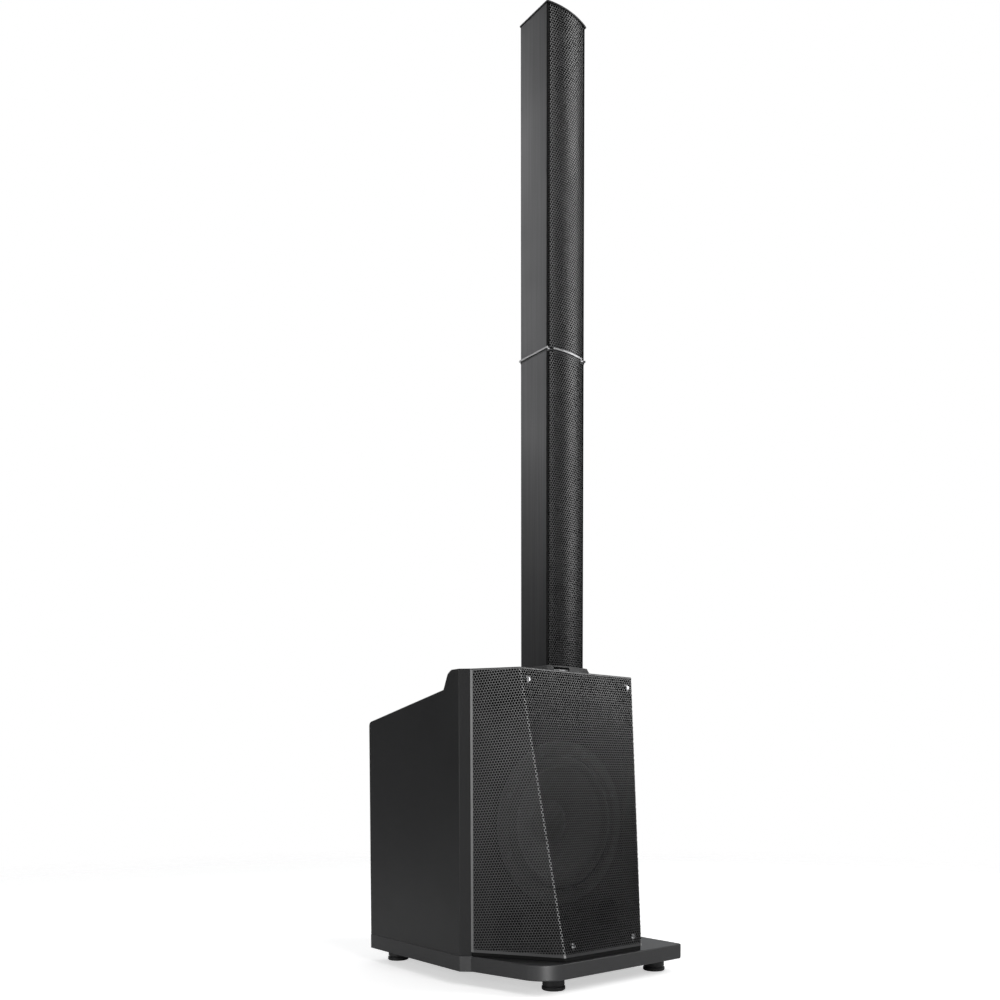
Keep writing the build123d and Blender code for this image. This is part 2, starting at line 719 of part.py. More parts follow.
def amp_tray():
    """Sheet-steel box around the electronics."""
    half_x = PANEL_WIDTH / 2 - TRAY_INSET
    half_z = PANEL_HEIGHT / 2 - TRAY_INSET
    tray = block_around(0, PANEL_Z, half_x, half_z, TRAY_FRONT, PANEL_FLOOR_BACK)
    front = TRAY_FRONT + SHEET
    return tray - block_around(0, PANEL_Z, half_x - SHEET, half_z - SHEET, front, PANEL_FLOOR_BACK + PAST)


def heat_sink():
    low, high = HEAT_SINK_Z
    face = PANEL_FLOOR + HEAT_SINK_BASE
    base = block(-HEAT_SINK_HALF, HEAT_SINK_HALF, PANEL_FLOOR, face, low, high)
    reach = HEAT_SINK_HALF - 1.5
    for number in range(FIN_COUNT):
        x = -reach + number * 2 * reach / (FIN_COUNT - 1)
        base += block(x - FIN_THICKNESS / 2, x + FIN_THICKNESS / 2, face, HALF_DEPTH - 3, low, high)
    return base


def circuit_board():
    return block(-BOARD_HALF, BOARD_HALF, BOARD_FRONT, BOARD_FRONT + BOARD_THICKNESS, *BOARD_Z)


def board_components():
    """Reservoir capacitors, smaller capacitors, the supply transformer and a power module."""
    parts = [rod_y(15, BOARD_FRONT - 38, BOARD_FRONT, x, 395) for x in (-85, -50, -15)]
    parts += [rod_y(11, BOARD_FRONT - 24, BOARD_FRONT, x, 335) for x in (-90, -60)]
    parts.append(block(20, 95, BOARD_FRONT - 46, BOARD_FRONT, 355, 415))
    parts.append(block(-100, -20, BOARD_FRONT - 14, BOARD_FRONT, 250, 300))
    return group(parts)


def potentiometers():
    bodies = []
    for x in KNOB_XS.values():
        body = block(x - 8, x + 8, PANEL_FLOOR_BACK - 11, PANEL_FLOOR_BACK, KNOB_Z - 10, KNOB_Z + 8)
        body += rod_y(BUSHING_RADIUS, PANEL_FLOOR_BACK - PAST, PANEL_FLOOR + 4, x, KNOB_Z)
        body += rod_y(SHAFT_RADIUS, PANEL_FLOOR, PANEL_FLOOR + SHAFT_LENGTH, x, KNOB_Z)
        bodies.append(body)
    return group(bodies)


def knob(x):
    """A fluted knob with a pointer groove, hollow over its shaft."""
    base = PANEL_FLOOR + 4.6
    skirt = 2.2
    top = base + 13.8
    grip = Circle(KNOB_RADIUS)
    for turn in range(KNOB_FLUTES):
        grip -= Rot(0, 0, 360 / KNOB_FLUTES * turn) * Pos(KNOB_RADIUS + 1, 0) * Circle(FLUTE_RADIUS)
    body = Pos(0, top, 0) * extrude(Plane.XZ * grip, 11.8)
    body += rod_y(KNOB_SKIRT_RADIUS, base, base + skirt, 0, 0)
    body -= block(-0.7, 0.7, top - PAST, top + PAST, 0, KNOB_SKIRT_RADIUS + PAST)
    body -= rod_y(SHAFT_RADIUS + RUNNING_GAP, base - PAST, PANEL_FLOOR + SHAFT_LENGTH + 0.3, 0, 0)
    return Pos(x, 0, KNOB_Z) * body


def mode_button():
    half = BUTTON_HALF
    shoulder = PANEL_FLOOR_BACK - 4
    cap = block(-half, half, shoulder, PANEL_FLOOR + 6, -half, half)
    cap = fillet(cap.faces().sort_by(Axis.Y)[-1].edges(), 1)
    cap += block(-half - 2, half + 2, shoulder - 2, shoulder, -half - 2, half + 2)
    return Pos(BUTTON_X, 0, KNOB_Z) * cap


def combo_socket(x):
    """A combined microphone and line socket: a ring, an island and three contact holes."""
    flange = RectangleRounded(*COMBO_FLANGE, 3)
    body = Pos(x, PANEL_FLOOR, SOCKET_Z) * extrude(Plane.XZ * flange, -2.2)
    body += rod_y(COMBO_RADIUS, PANEL_FLOOR_BACK - 20, PANEL_FLOOR + 3, x, SOCKET_Z)
    body -= rod_y(COMBO_RADIUS - 2.2, PANEL_FLOOR_BACK - 2, PANEL_FLOOR + 4, x, SOCKET_Z)
    body += rod_y(COMBO_RADIUS - 3.4, PANEL_FLOOR_BACK - 3, PANEL_FLOOR + 1.5, x, SOCKET_Z)
    body -= rod_y(3.3, PANEL_FLOOR_BACK - 16, PANEL_FLOOR + 4, x, SOCKET_Z)
    for turn in (90, 210, 330):
        angle = math.radians(turn)
        pin_x = x + 5.9 * math.cos(angle)
        pin_z = SOCKET_Z + 5.9 * math.sin(angle)
        body -= rod_y(1.4, PANEL_FLOOR_BACK - 14, PANEL_FLOOR + 4, pin_x, pin_z)
    return body


def phono_socket(x):
    body = rod_y(PHONO_RADIUS, PANEL_FLOOR_BACK - 12, PANEL_FLOOR + 9, x, SOCKET_Z)
    body += rod_y(PHONO_RADIUS + 1.7, PANEL_FLOOR, PANEL_FLOOR + 2.2, x, SOCKET_Z)
    return body - rod_y(1.7, PANEL_FLOOR_BACK - 4, PANEL_FLOOR + 10, x, SOCKET_Z)


def input_sockets():
    """Two combined microphone and line sockets and three phono sockets."""
    return group([combo_socket(x) for x in COMBO_XS] + [phono_socket(x) for x in PHONO_XS])


def mains_inlet():
    half_x, half_z = INLET_HALF
    body = block_around(0, 0, 25, 14, PANEL_FLOOR, PANEL_FLOOR + BEZEL_THICKNESS)
    body = fillet(body.edges().filter_by(Axis.Y), 5)
    body += block_around(0, 0, half_x, half_z, PANEL_FLOOR_BACK - 16, PANEL_FLOOR)
    body -= block_around(0, 0, half_x - 2.1, half_z - 2.1, PANEL_FLOOR_BACK - 12, PANEL_FLOOR + 3)
    for x, z in ((-7, -2.5), (0, 2.5), (7, -2.5)):
        body += block_around(x, z, 1, 2.5, PANEL_FLOOR_BACK - 13, PANEL_FLOOR - 3)
    return Pos(INLET_X, 0, POWER_Z) * body


def rocker_frame():
    half_x, half_z = ROCKER_BODY_HALF
    body = block_around(0, 0, half_x + 2.7, half_z + 2.7, PANEL_FLOOR, PANEL_FLOOR + BEZEL_THICKNESS)
    body = fillet(body.edges().filter_by(Axis.Y), 2)
    body += block_around(0, 0, half_x, half_z, PANEL_FLOOR_BACK - 14, PANEL_FLOOR)
    body -= block_around(0, 0, half_x - 1.6, half_z - 1.6, PANEL_FLOOR_BACK - 12.5, PANEL_FLOOR + 3)
    return Pos(ROCKER_X, 0, POWER_Z) * body


def power_rocker():
    """A rocker cap, at rest with its upper half out, which tips about its own axis."""
    cap = extrude(Plane.YZ * Circle(ROCKER_RADIUS), ROCKER_HALF_WIDTH, both=True)
    reach = 3 * ROCKER_RADIUS
    rise = reach * math.tan(math.radians(ROCKER_REST))
    outline = [
        (ROCKER_FACE, 0),
        (ROCKER_FACE + rise, reach),
        (reach, reach),
        (reach, -reach),
        (ROCKER_FACE + rise, -reach),
    ]
    cap -= side_prism(outline, -ROCKER_HALF_WIDTH - PAST, ROCKER_HALF_WIDTH + PAST)
    return Pos(ROCKER_X, ROCKER_AXIS_Y, POWER_Z) * Rot(-ROCKER_REST, 0, 0) * cap


def cable(points, radius):
    path = Spline(*points)
    profile = Plane(origin=path @ 0, z_dir=path % 0) * Circle(radius)
    return sweep(profile, path)


def cable_loom():
    """Leads from the electronics to the woofer and to the column socket."""
    start = TRAY_FRONT - 4
    woofer_lead = cable([(60, start, 300), (100, 70, 270), (96, 0, 300), (88, -46, 330)], 2.5)
    column_lead = cable([(0, start, 400), (20, 60, 440), (10, -30, 500), (0, -88, 548)], 3)
    return group([woofer_lead, column_lead])


# ---- Column: shared outlines ----
def bowed_face(x, front, back, bulge):
    """A plan outline with three straight sides and a front that bows out by bulge."""
    bow = ThreePointArc((-x, front), (0, front - bulge), (x, front))
    rest = Polyline((x, front), (x, back), (-x, back), (-x, front))
    return make_face([bow, rest])


def column_outline(offset, back_offset):
    """Plan of a column segment, grown by offset, with its bowed front."""
    return bowed_face(HALF_COLUMN + offset, COLUMN_FRONT - offset, COLUMN_BACK + back_offset, COLUMN_BULGE)


def driver_heights(base):
    return [base + DRIVER_FIRST + number * DRIVER_PITCH for number in range(DRIVERS_PER_SEGMENT)]


def segment_shell(base, segment_length):
    """Aluminium extrusion with a front wall that carries the drivers and a recess for the grille."""
    length = segment_length - 2 * END_PLATE
    outline = Rectangle(COLUMN_WIDTH, COLUMN_BACK - COLUMN_FRONT)
    outline = fillet(outline.vertices(), SHELL_CORNER)
    low = base + END_PLATE
    shell = Pos(0, (COLUMN_BACK + COLUMN_FRONT) / 2, low) * extrude(outline, length)
    inner = HALF_COLUMN - WALL
    wall_back = DRIVER_WALL_FRONT + WALL
    bottom = low - PAST
    top = low + length + PAST
    shell -= block(-inner, inner, COLUMN_FRONT - PAST, DRIVER_WALL_FRONT, bottom, top)
    shell -= block(-inner, inner, wall_back, COLUMN_BACK - WALL, bottom, top)
    for z in driver_heights(base):
        shell -= rod_y(DRIVER_HOLE, DRIVER_WALL_FRONT - PAST, wall_back + PAST, 0, z)
    return shell


def grille_plan(inset, back):
    """Plan of the column grille's outer face, moved inward by inset."""
    x = HALF_COLUMN - WALL - GROOVE - inset
    return bowed_face(x, COLUMN_FRONT - FIT_GAP + inset, back, COLUMN_BULGE - FIT_GAP)


def segment_grille(base, segment_length):
    gap = 0.3
    length = segment_length - 2 * END_PLATE - 2 * gap
    back = DRIVER_WALL_FRONT - BOARD_GAP
    sheet = extrude(grille_plan(0, back), length)
    sheet -= Pos(0, 0, -PAST) * extrude(grille_plan(COLUMN_SHEET, back + 2 * PAST), length + 2 * PAST)
    return Pos(0, 0, base + END_PLATE + gap) * sheet


def end_plate(z, thickness, offset):
    """Plate across a segment's end, notched where the shell meets the grille."""
    plate = extrude(column_outline(offset, offset), thickness)
    notch = block(*PLATE_NOTCH, COLUMN_FRONT - 30, COLUMN_FRONT + PAST, -PAST, thickness + PAST)
    for solid in both_sides(notch):
        plate -= solid
    return Pos(0, 0, z) * plate


def plug_pin_places():
    x, y = PIN_SPREAD
    return [(side * x, PLUG_Y + end * y) for side in (-1, 1) for end in (-1, 1)]


def plug(base):
    """Moulded spigot that carries the segment above it and its contacts."""
    width, depth, length = PLUG_SIZE
    body = extrude(RectangleRounded(width, depth, PLUG_CORNER), length)
    body = fillet(body.faces().sort_by(Axis.Z)[0].edges(), 1.5)
    return Pos(0, PLUG_Y, base - length) * body


def plug_pins(base):
    bottom = base - PLUG_SIZE[2]
    profile = [
        (0, 0),
        (PIN_RADIUS, 0),
        (PIN_RADIUS, -PIN_LENGTH + 1),
        (PIN_RADIUS - 1, -PIN_LENGTH),
        (0, -PIN_LENGTH),
    ]
    pin = turned_z(profile)
    return group([Pos(x, y, bottom) * pin for x, y in plug_pin_places()])


def plug_socket(top):
    """Moulded cup that receives a plug whose plate rests at height top."""
    width, depth, length = PLUG_SIZE
    rim = top - 2.8
    floor = top - length - FIT_GAP
    low = floor - PIN_LENGTH - 2
    half_x = SOCKET_OUTER[0] - 0.1
    half_y = SOCKET_OUTER[1] - 0.1
    body = block(-half_x, half_x, PLUG_Y - half_y, PLUG_Y + half_y, low, rim)
    cavity = RectangleRounded(width + 2 * PLUG_GAP, depth + 2 * PLUG_GAP, PLUG_CORNER + PLUG_GAP)
    body -= Pos(0, PLUG_Y, floor) * extrude(cavity, length)
    for x, y in plug_pin_places():
        body -= Pos(x, y, floor) * Cylinder(PIN_RADIUS + RUNNING_GAP, 2 * PIN_LENGTH + 2)
    return body


# ---- Column: drivers ----
def at_drivers(base, solid):
    return group([Pos(0, 0, z) * solid for z in driver_heights(base)])


def segment_drivers(base):
    """Pressed frames and their magnets."""
    shoulder = DRIVER_WALL_FRONT + DRIVER_SHOULDER
    profile = [
        (DRIVER_FLANGE, DRIVER_FRONT),
        (DRIVER_FLANGE, DRIVER_WALL_FRONT),
        (DRIVER_HOLE - 0.4, DRIVER_WALL_FRONT),
        (DRIVER_HOLE - 0.4, shoulder),
        (20, DRIVER_FRAME_BACK - 2),
        (20, DRIVER_FRAME_BACK),
        (10, DRIVER_FRAME_BACK),
        (10, DRIVER_FRAME_BACK - DRIVER_STEEL),
        (18.5, DRIVER_FRAME_BACK - DRIVER_STEEL),
        (DRIVER_SURROUND_RADIUS + 0.2, shoulder),
        (DRIVER_SURROUND_RADIUS + 0.2, DRIVER_FRONT),
    ]
    magnet = turned_y([
        (0, DRIVER_FRAME_BACK),
        (DRIVER_MAGNET_RADIUS, DRIVER_FRAME_BACK),
        (DRIVER_MAGNET_RADIUS, DRIVER_MAGNET_BACK),
        (0, DRIVER_MAGNET_BACK),
    ])
    return at_drivers(base, group([turned_y(profile), magnet]))


def segment_surrounds(base):
    inner = DRIVER_CONE_RADIUS + BOARD_GAP
    return at_drivers(base, rolled_ring(inner, DRIVER_SURROUND_RADIUS, DRIVER_WALL_FRONT, 2.2, 0.7))


def segment_cones(base):
    face = DRIVER_WALL_FRONT
    profile = [
        (DRIVER_CONE_RADIUS, face),
        (DRIVER_CONE_RADIUS, face + 1),
        (10, face + 11),
        (8, face + 8.2),
        (0, face + 5.8),
        (0, face + 4.8),
        (8, face + 7),
        (10, face + 9.6),
    ]
    return at_drivers(base, turned_y(profile))


# ---- Column: pieces that belong to one segment only ----
def column_collar():
    """Flared seat on the hood around the foot of the column, with a window onto the foot plate."""
    height = COLLAR_HEIGHT + HOOD_TOP - HOOD_NOSE_TOP
    flare = math.degrees(math.atan(COLLAR_FLARE / height))
    outside = column_outline(COLLAR_MARGIN, COLLAR_BACK_MARGIN)
    well = column_outline(PLATE_PROUD + PLUG_GAP, PLATE_PROUD + PLUG_GAP)
    ring = Pos(0, 0, HOOD_NOSE_TOP) * extrude(outside, height, taper=flare)
    ring -= Pos(0, 0, COLUMN_BASE) * extrude(well, height)
    x, y = SOCKET_OUTER
    below = HOOD_NOSE_TOP - PAST
    ring -= block(-x, x, PLUG_Y - y, PLUG_Y + y, below, COLUMN_BASE + PAST)
    ring -= block(-HALF_WIDTH, HALF_WIDTH, BEZEL_Y, 0, below, HOOD_TOP)
    window = block(*COLLAR_WINDOW, COLUMN_FRONT - 40, COLUMN_FRONT + 10, COLUMN_BASE, COLUMN_BASE + 7)
    return ring - window


def lower_top_plate():
    plate = end_plate(UPPER - END_PLATE, END_PLATE - 0.2, 0)
    x, y = SOCKET_OUTER
    return plate - block(-x, x, PLUG_Y - y, PLUG_Y + y, LOWER, UPPER + PAST)


def upper_top_cap():
    height = UPPER + UPPER_LENGTH - END_PLATE
    return Pos(0, 0, height) * extrude(column_outline(CAP_PROUD, 0), END_PLATE - 0.5)


NODES = {
    "base_plinth": base_plinth,
    "rubber_feet": rubber_feet,
    "fixing_screws": fixing_screws,
    "right_side_panel": side_panel,
    "left_side_panel": lambda: mirror(side_panel(), Plane.YZ),
    "top_panel": top_panel,
    "back_panel": back_panel,
    "baffle_board": baffle_board,
    "baffle_cheeks": baffle_cheeks,
    "nose_base": nose_base,
    "front_hood": front_hood,
    "column_collar": column_collar,
    "column_socket": lambda: plug_socket(LOWER),
    "sub_grille": sub_grille,
    "grille_screws": grille_screws,
    "port_tubes": port_tubes,
    "woofer_basket": woofer_basket,
    "woofer_gasket": woofer_gasket,
    "woofer_magnet": woofer_magnet,
    "woofer_yoke": woofer_yoke,
    "woofer_surround": woofer_surround,
    "woofer_spider": woofer_spider,
    "woofer_cone": woofer_cone,
    "woofer_dust_cap": woofer_dust_cap,
    "woofer_voice_coil": woofer_voice_coil,
    "carry_handle": carry_handle,
    "amp_panel": amp_panel,
    "amp_tray": amp_tray,
    "heat_sink": heat_sink,
    "circuit_board": circuit_board,
    "board_components": board_components,
    "potentiometers": potentiometers,
    "mode_button": mode_button,
    "input_sockets": input_sockets,
    "mains_inlet": mains_inlet,
    "rocker_frame": rocker_frame,
    "power_rocker": power_rocker,
    "cable_loom": cable_loom,
    "lower_shell": lambda: segment_shell(LOWER, LOWER_LENGTH),
    "lower_grille": lambda: segment_grille(LOWER, LOWER_LENGTH),
    "lower_bottom_plate": lambda: end_plate(LOWER, END_PLATE, PLATE_PROUD),
    "lower_top_plate": lower_top_plate,
    "lower_plug": lambda: plug(LOWER),
    "lower_plug_pins": lambda: plug_pins(LOWER),
    "lower_drivers": lambda: segment_drivers(LOWER),
    "lower_surrounds": lambda: segment_surrounds(LOWER),
    "lower_cones": lambda: segment_cones(LOWER),
    "lower_socket": lambda: plug_socket(UPPER),
    "upper_shell": lambda: segment_shell(UPPER, UPPER_LENGTH),
    "upper_grille": lambda: segment_grille(UPPER, UPPER_LENGTH),
    "upper_bottom_plate": lambda: end_plate(UPPER, END_PLATE, PLATE_PROUD),
    "upper_top_cap": upper_top_cap,
    "upper_plug": lambda: plug(UPPER),
    "upper_plug_pins": lambda: plug_pins(UPPER),
    "upper_drivers": lambda: segment_drivers(UPPER),
    "upper_surrounds": lambda: segment_surrounds(UPPER),
    "upper_cones": lambda: segment_cones(UPPER),
}
for knob_name, knob_x in KNOB_XS.items():
    NODES[knob_name] = lambda x=knob_x: knob(x)

os.makedirs("parts", exist_ok=True)
for name, make in NODES.items():
    export_step(make(), f"parts/{name}.step")
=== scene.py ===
import json
import math

import bpy
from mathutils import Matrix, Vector
from mathutils.geometry import delaunay_2d_cdt


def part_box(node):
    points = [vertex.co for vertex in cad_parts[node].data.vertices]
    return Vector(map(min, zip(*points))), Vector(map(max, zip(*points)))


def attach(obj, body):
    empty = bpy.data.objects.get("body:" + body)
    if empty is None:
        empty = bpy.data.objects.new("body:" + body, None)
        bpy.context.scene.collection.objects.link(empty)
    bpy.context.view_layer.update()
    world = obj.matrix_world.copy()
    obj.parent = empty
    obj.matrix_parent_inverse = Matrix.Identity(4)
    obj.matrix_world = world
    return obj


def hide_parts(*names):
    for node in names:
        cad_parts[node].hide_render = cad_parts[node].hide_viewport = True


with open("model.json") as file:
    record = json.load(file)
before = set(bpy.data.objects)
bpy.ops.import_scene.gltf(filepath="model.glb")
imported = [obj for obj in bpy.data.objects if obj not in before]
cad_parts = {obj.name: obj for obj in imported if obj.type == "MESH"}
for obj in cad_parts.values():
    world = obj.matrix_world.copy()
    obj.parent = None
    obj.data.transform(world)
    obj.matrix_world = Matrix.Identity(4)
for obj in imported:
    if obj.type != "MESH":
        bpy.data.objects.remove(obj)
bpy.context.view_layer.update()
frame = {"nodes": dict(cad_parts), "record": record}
NODES = frame["nodes"]
UP = Vector((0, 0, 1))
WELD_GAP = 1e-6
SAME_LEVEL = 1e-5

# ---- Perforated sheets, in metres ----
CUT_TOLERANCE = 1e-7
OUTSIDE_TOLERANCE = 1e-9
HOLE_SIDES = 8
ROW_RATIO = math.sqrt(3) / 2
SUB_PITCH = 0.0055
SUB_HOLE = 0.00245
SUB_SHEET = 0.0014
SUB_BEND = 0.0040
SUB_EDGE_BAND = 0.0050
SUB_TOP_BAND = 0.0010
SUB_BOTTOM_BAND = 0.0055
# Outer face, then near black painted shade on the hole walls and inner face, then paler greys as painted
# highlights on the bend and along the side edge.
SUB_FINISHES = ("grille_steel", "grille_inside_painted_shade", "grille_fold_painted_highlight", "grille_edge_painted_highlight")
OUTER_FACE, PAINTED_SHADE_INSIDE, FOLD_PAINTED_HIGHLIGHT, EDGE_PAINTED_HIGHLIGHT = range(4)
SUB_SPARE_HEIGHT = 0.04
LIP_WIDTH = 0.010
LIP_BEND = 0.0025
LIP_STEPS = 5
SCREW_CLEARANCE = 0.0066
SCREW_RADIUS = 0.005
LOWER_SCREW_X = 0.080
COLUMN_PITCH = 0.0050
COLUMN_HOLE = 0.00218
COLUMN_SHEET = 0.0010
COLUMN_BEND = 0.0015
COLUMN_SAG = 0.0075
COLUMN_STEPS = 64
COLUMN_RETURN_HOLES = 0.004


# ---- Meshes ----
def make_mesh(name, vertices, faces, smooth=False):
    mesh = bpy.data.meshes.new(name)
    mesh.from_pydata([tuple(v) for v in vertices], [], faces)
    mesh.validate()
    mesh.polygons.foreach_set("use_smooth", [smooth] * len(mesh.polygons))
    piece = bpy.data.objects.new(name, mesh)
    bpy.context.scene.collection.objects.link(piece)
    return piece


def staggered_holes(width, height, pitch):
    """Centres of rows of holes over a sheet centred on x = 0.

    Each row is shifted half a pitch from the one below."""
    rows = int(height / (pitch * ROW_RATIO)) + 2
    across = int(width / 2 / pitch) + 2
    centres = []
    for row in range(-1, rows):
        shift = pitch / 2 if row % 2 else 0.0
        for number in range(-across, across + 1):
            centres.append(Vector((number * pitch + shift, row * pitch * ROW_RATIO)))
    return centres


def edge_distance(point, start, end):
    """Distance of a point to the left of the line from start to end."""
    along = (end - start).normalized()
    away = point - start
    return along.x * away.y - along.y * away.x


def inside_hole(point, centre, radius):
    """True if point lies inside the many-sided hole around centre."""
    away = point - centre
    step = 2 * math.pi / HOLE_SIDES
    turn = (math.atan2(away.y, away.x) + step / 2) % step - step / 2
    return away.length * math.cos(turn) < radius * math.cos(step / 2)


def cut_sheet(outline, centres, radius, guides=(), bands=()):
    """Corners and triangles of a flat sheet with holes, inside an outline that runs anticlockwise.

    Edges follow the guide lines. A band (start, end, width) along one side of the outline has no holes,
    and cuts off those that it meets."""
    points = []
    edges = []

    def ring(corners):
        first = len(points)
        points.extend(corners)
        count = len(corners)
        edges.extend((first + k, first + (k + 1) % count) for k in range(count))

    ring(outline)
    for centre in centres:
        turns = [2 * math.pi * (k + 0.5) / HOLE_SIDES for k in range(HOLE_SIDES)]
        ring([centre + radius * Vector((math.cos(turn), math.sin(turn))) for turn in turns])
    limits = []
    for start, end, width in bands:
        along = (end - start).normalized()
        inward = Vector((-along.y, along.x)) * width
        limits.append([start + inward, end + inward])
    for guide in list(guides) + limits:
        first = len(points)
        points.extend(guide)
        edges.extend((first + k, first + k + 1) for k in range(len(guide) - 1))
    corners, _, triangles, *_ = delaunay_2d_cdt(points, edges, [], 0, CUT_TOLERANCE)
    sides = [(outline[k - 1], outline[k]) for k in range(len(outline))]
    grid = {}
    cell = 4 * radius
    for centre in centres:
        grid.setdefault((round(centre.x / cell), round(centre.y / cell)), []).append(centre)
    kept = []
    for triangle in triangles:
        a, b, c = (corners[k] for k in triangle)
        middle = (a + b + c) / 3
        if any(edge_distance(middle, start, end) < OUTSIDE_TOLERANCE for start, end in sides):
            continue
        if any(edge_distance(middle, start, end) < 0 for start, end in limits):
            kept.append(tuple(triangle))
            continue
        column, row = round(middle.x / cell), round(middle.y / cell)
        around = [(column + i, row + j) for i in (-1, 0, 1) for j in (-1, 0, 1)]
        near = [centre for key in around for centre in grid.get(key, ())]
        if not any(inside_hole(middle, centre, radius) for centre in near):
            kept.append(tuple(triangle))
    return corners, kept


def thick_sheet(name, corners, triangles, place, finishes, finish_at=None):
    """Folds a flat cut sheet into place: place gives a point's outer and inner position.

    The first finish is the outer face's, unless finish_at chooses another for a point of it, and the second
    is that of the hole walls and the inner face, which the callers make near black as painted shade."""
    used = sorted({k for triangle in triangles for k in triangle})
    number = {k: i for i, k in enumerate(used)}
    placed = [place(corners[k]) for k in used]
    count = len(used)
    vertices = [outer for outer, inner in placed] + [inner for outer, inner in placed]
    faces = []
    rim = {}
    for triangle in triangles:
        a, b, c = (number[k] for k in triangle)
        faces.append((a, b, c))
        faces.append((a + count, c + count, b + count))
        for start, end in ((a, b), (b, c), (c, a)):
            if (end, start) in rim:
                del rim[(end, start)]
            else:
                rim[(start, end)] = True
    for start, end in rim:
        faces.append((start, start + count, end + count, end))
    piece = make_mesh(name, vertices, faces)
    for slot in finishes:
        piece.data.materials.append(finish(slot))
    indices = [PAINTED_SHADE_INSIDE] * len(piece.data.polygons)
    for k, triangle in enumerate(triangles):
        middle = sum((corners[corner] for corner in triangle), Vector((0, 0))) / 3
        indices[2 * k] = finish_at(middle) if finish_at else OUTER_FACE
    piece.data.polygons.foreach_set("material_index", indices)
    return piece


# ---- The cabinet's folded grille ----
class Fold:
    """The cabinet grille's right-hand fold, where its leaning front meets its upright side."""

    def __init__(self):
        low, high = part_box("sub_grille")
        near_top = [v.co for v in NODES["sub_grille"].data.vertices if v.co.z > high.z - SAME_LEVEL]
        top = min(near_top, key=lambda co: (round(co.y, 5), -co.x))
        slope = (high.x - abs(top.x)) / (high.y - top.y)
        self.top = Vector((abs(top.x), top.y, high.z))
        self.bottom = Vector((high.x - (high.y - low.y) * slope, low.y, low.z))
        self.edge_top = Vector((high.x, high.y, high.z))
        self.edge_bottom = Vector((high.x, high.y, low.z))
        self.slope = slope
        self.lean = (self.top.y - self.bottom.y) / (high.z - low.z)
        self.along = (self.top - self.bottom).normalized()
        front = Vector((0, -1, self.lean)).normalized()
        side = Vector((high.y - top.y, abs(top.x) - high.x, 0)).normalized()
        self.front_normal = front
        self.side_normal = side
        self.half_angle = front.angle(side) / 2
        self.bend_length = SUB_BEND * self.half_angle
        self.tangent = SUB_BEND * math.tan(self.half_angle)
        self.outward = (front + side).normalized()
        self.across = (side - front).normalized()
        self.front_way = self.along.cross(front).normalized()
        if self.front_way.x > 0:
            self.front_way.negate()
        self.side_way = self.along.cross(side).normalized()
        if self.side_way.x < 0:
            self.side_way.negate()
        self.height = math.hypot(self.top.z - self.bottom.z, self.top.y - self.bottom.y)
        self.flat_bottom = Vector((self.bottom.x, 0))
        self.flat_top = Vector((self.top.x, self.height))
        self.flat_along = (self.flat_top - self.flat_bottom).normalized()
        self.flat_across = Vector((self.flat_along.y, -self.flat_along.x))

    def flatten(self, point):
        """Where a point of the side facet lies on the unfolded sheet."""
        away = point - self.bottom
        distance = away.dot(self.side_way) - self.tangent + self.bend_length
        return self.flat_bottom + self.flat_along * away.dot(self.along) + self.flat_across * distance

    def finish_at(self, flat):
        """Which of SUB_FINISHES the outer face has at a point: the bend and the side edge get paler greys,
        painted highlights.
        """
        spot = Vector((abs(flat.x), flat.y))
        if abs((spot - self.flat_bottom).dot(self.flat_across)) < self.bend_length:
            return FOLD_PAINTED_HIGHLIGHT
        edge = self.flatten(self.edge_bottom), self.flatten(self.edge_top)
        # The band along the side edge gets a painted highlight.
        return EDGE_PAINTED_HIGHLIGHT if edge_distance(spot, *edge) < SUB_EDGE_BAND else OUTER_FACE

    def place(self, flat):
        """Outer and inner position of a point of the unfolded sheet, on either half."""
        on_left = flat.x < 0
        away = Vector((abs(flat.x), flat.y)) - self.flat_bottom
        on_fold = self.bottom + self.along * away.dot(self.flat_along)
        distance = away.dot(self.flat_across)
        if abs(distance) < self.bend_length:
            centre = on_fold - self.outward * (SUB_BEND / math.cos(self.half_angle))
            turn = distance / SUB_BEND
            normal = self.outward * math.cos(turn) + self.across * math.sin(turn)
            outer = centre + normal * SUB_BEND
        elif distance < 0:
            normal = self.front_normal
            outer = on_fold + self.front_way * (-distance - self.bend_length + self.tangent)
        else:
            normal = self.side_normal
            outer = on_fold + self.side_way * (distance - self.bend_length + self.tangent)
        inner = outer - normal * SUB_SHEET
        if on_left:
            outer = Vector((-outer.x, outer.y, outer.z))
            inner = Vector((-inner.x, inner.y, inner.z))
        return outer, inner


def share(start, end, part):
    return start + (end - start) * part


def mirrored(points):
    """Mirror image of a flat outline or guide, still running anticlockwise."""
    return [Vector((-p.x, p.y)) for p in reversed(points)]


def screw_spots(fold):
    """Places of the grille screws on the unfolded front."""
    spots = []
    low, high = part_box("grille_screws")
    for x, z in ((high.x - SCREW_RADIUS, high.z - SCREW_RADIUS), (LOWER_SCREW_X, low.z + SCREW_RADIUS)):
        height = (z - fold.bottom.z) * fold.height / (fold.top.z - fold.bottom.z)
        spots.append(Vector((x, height)))
        spots.append(Vector((-x, height)))
    return spots


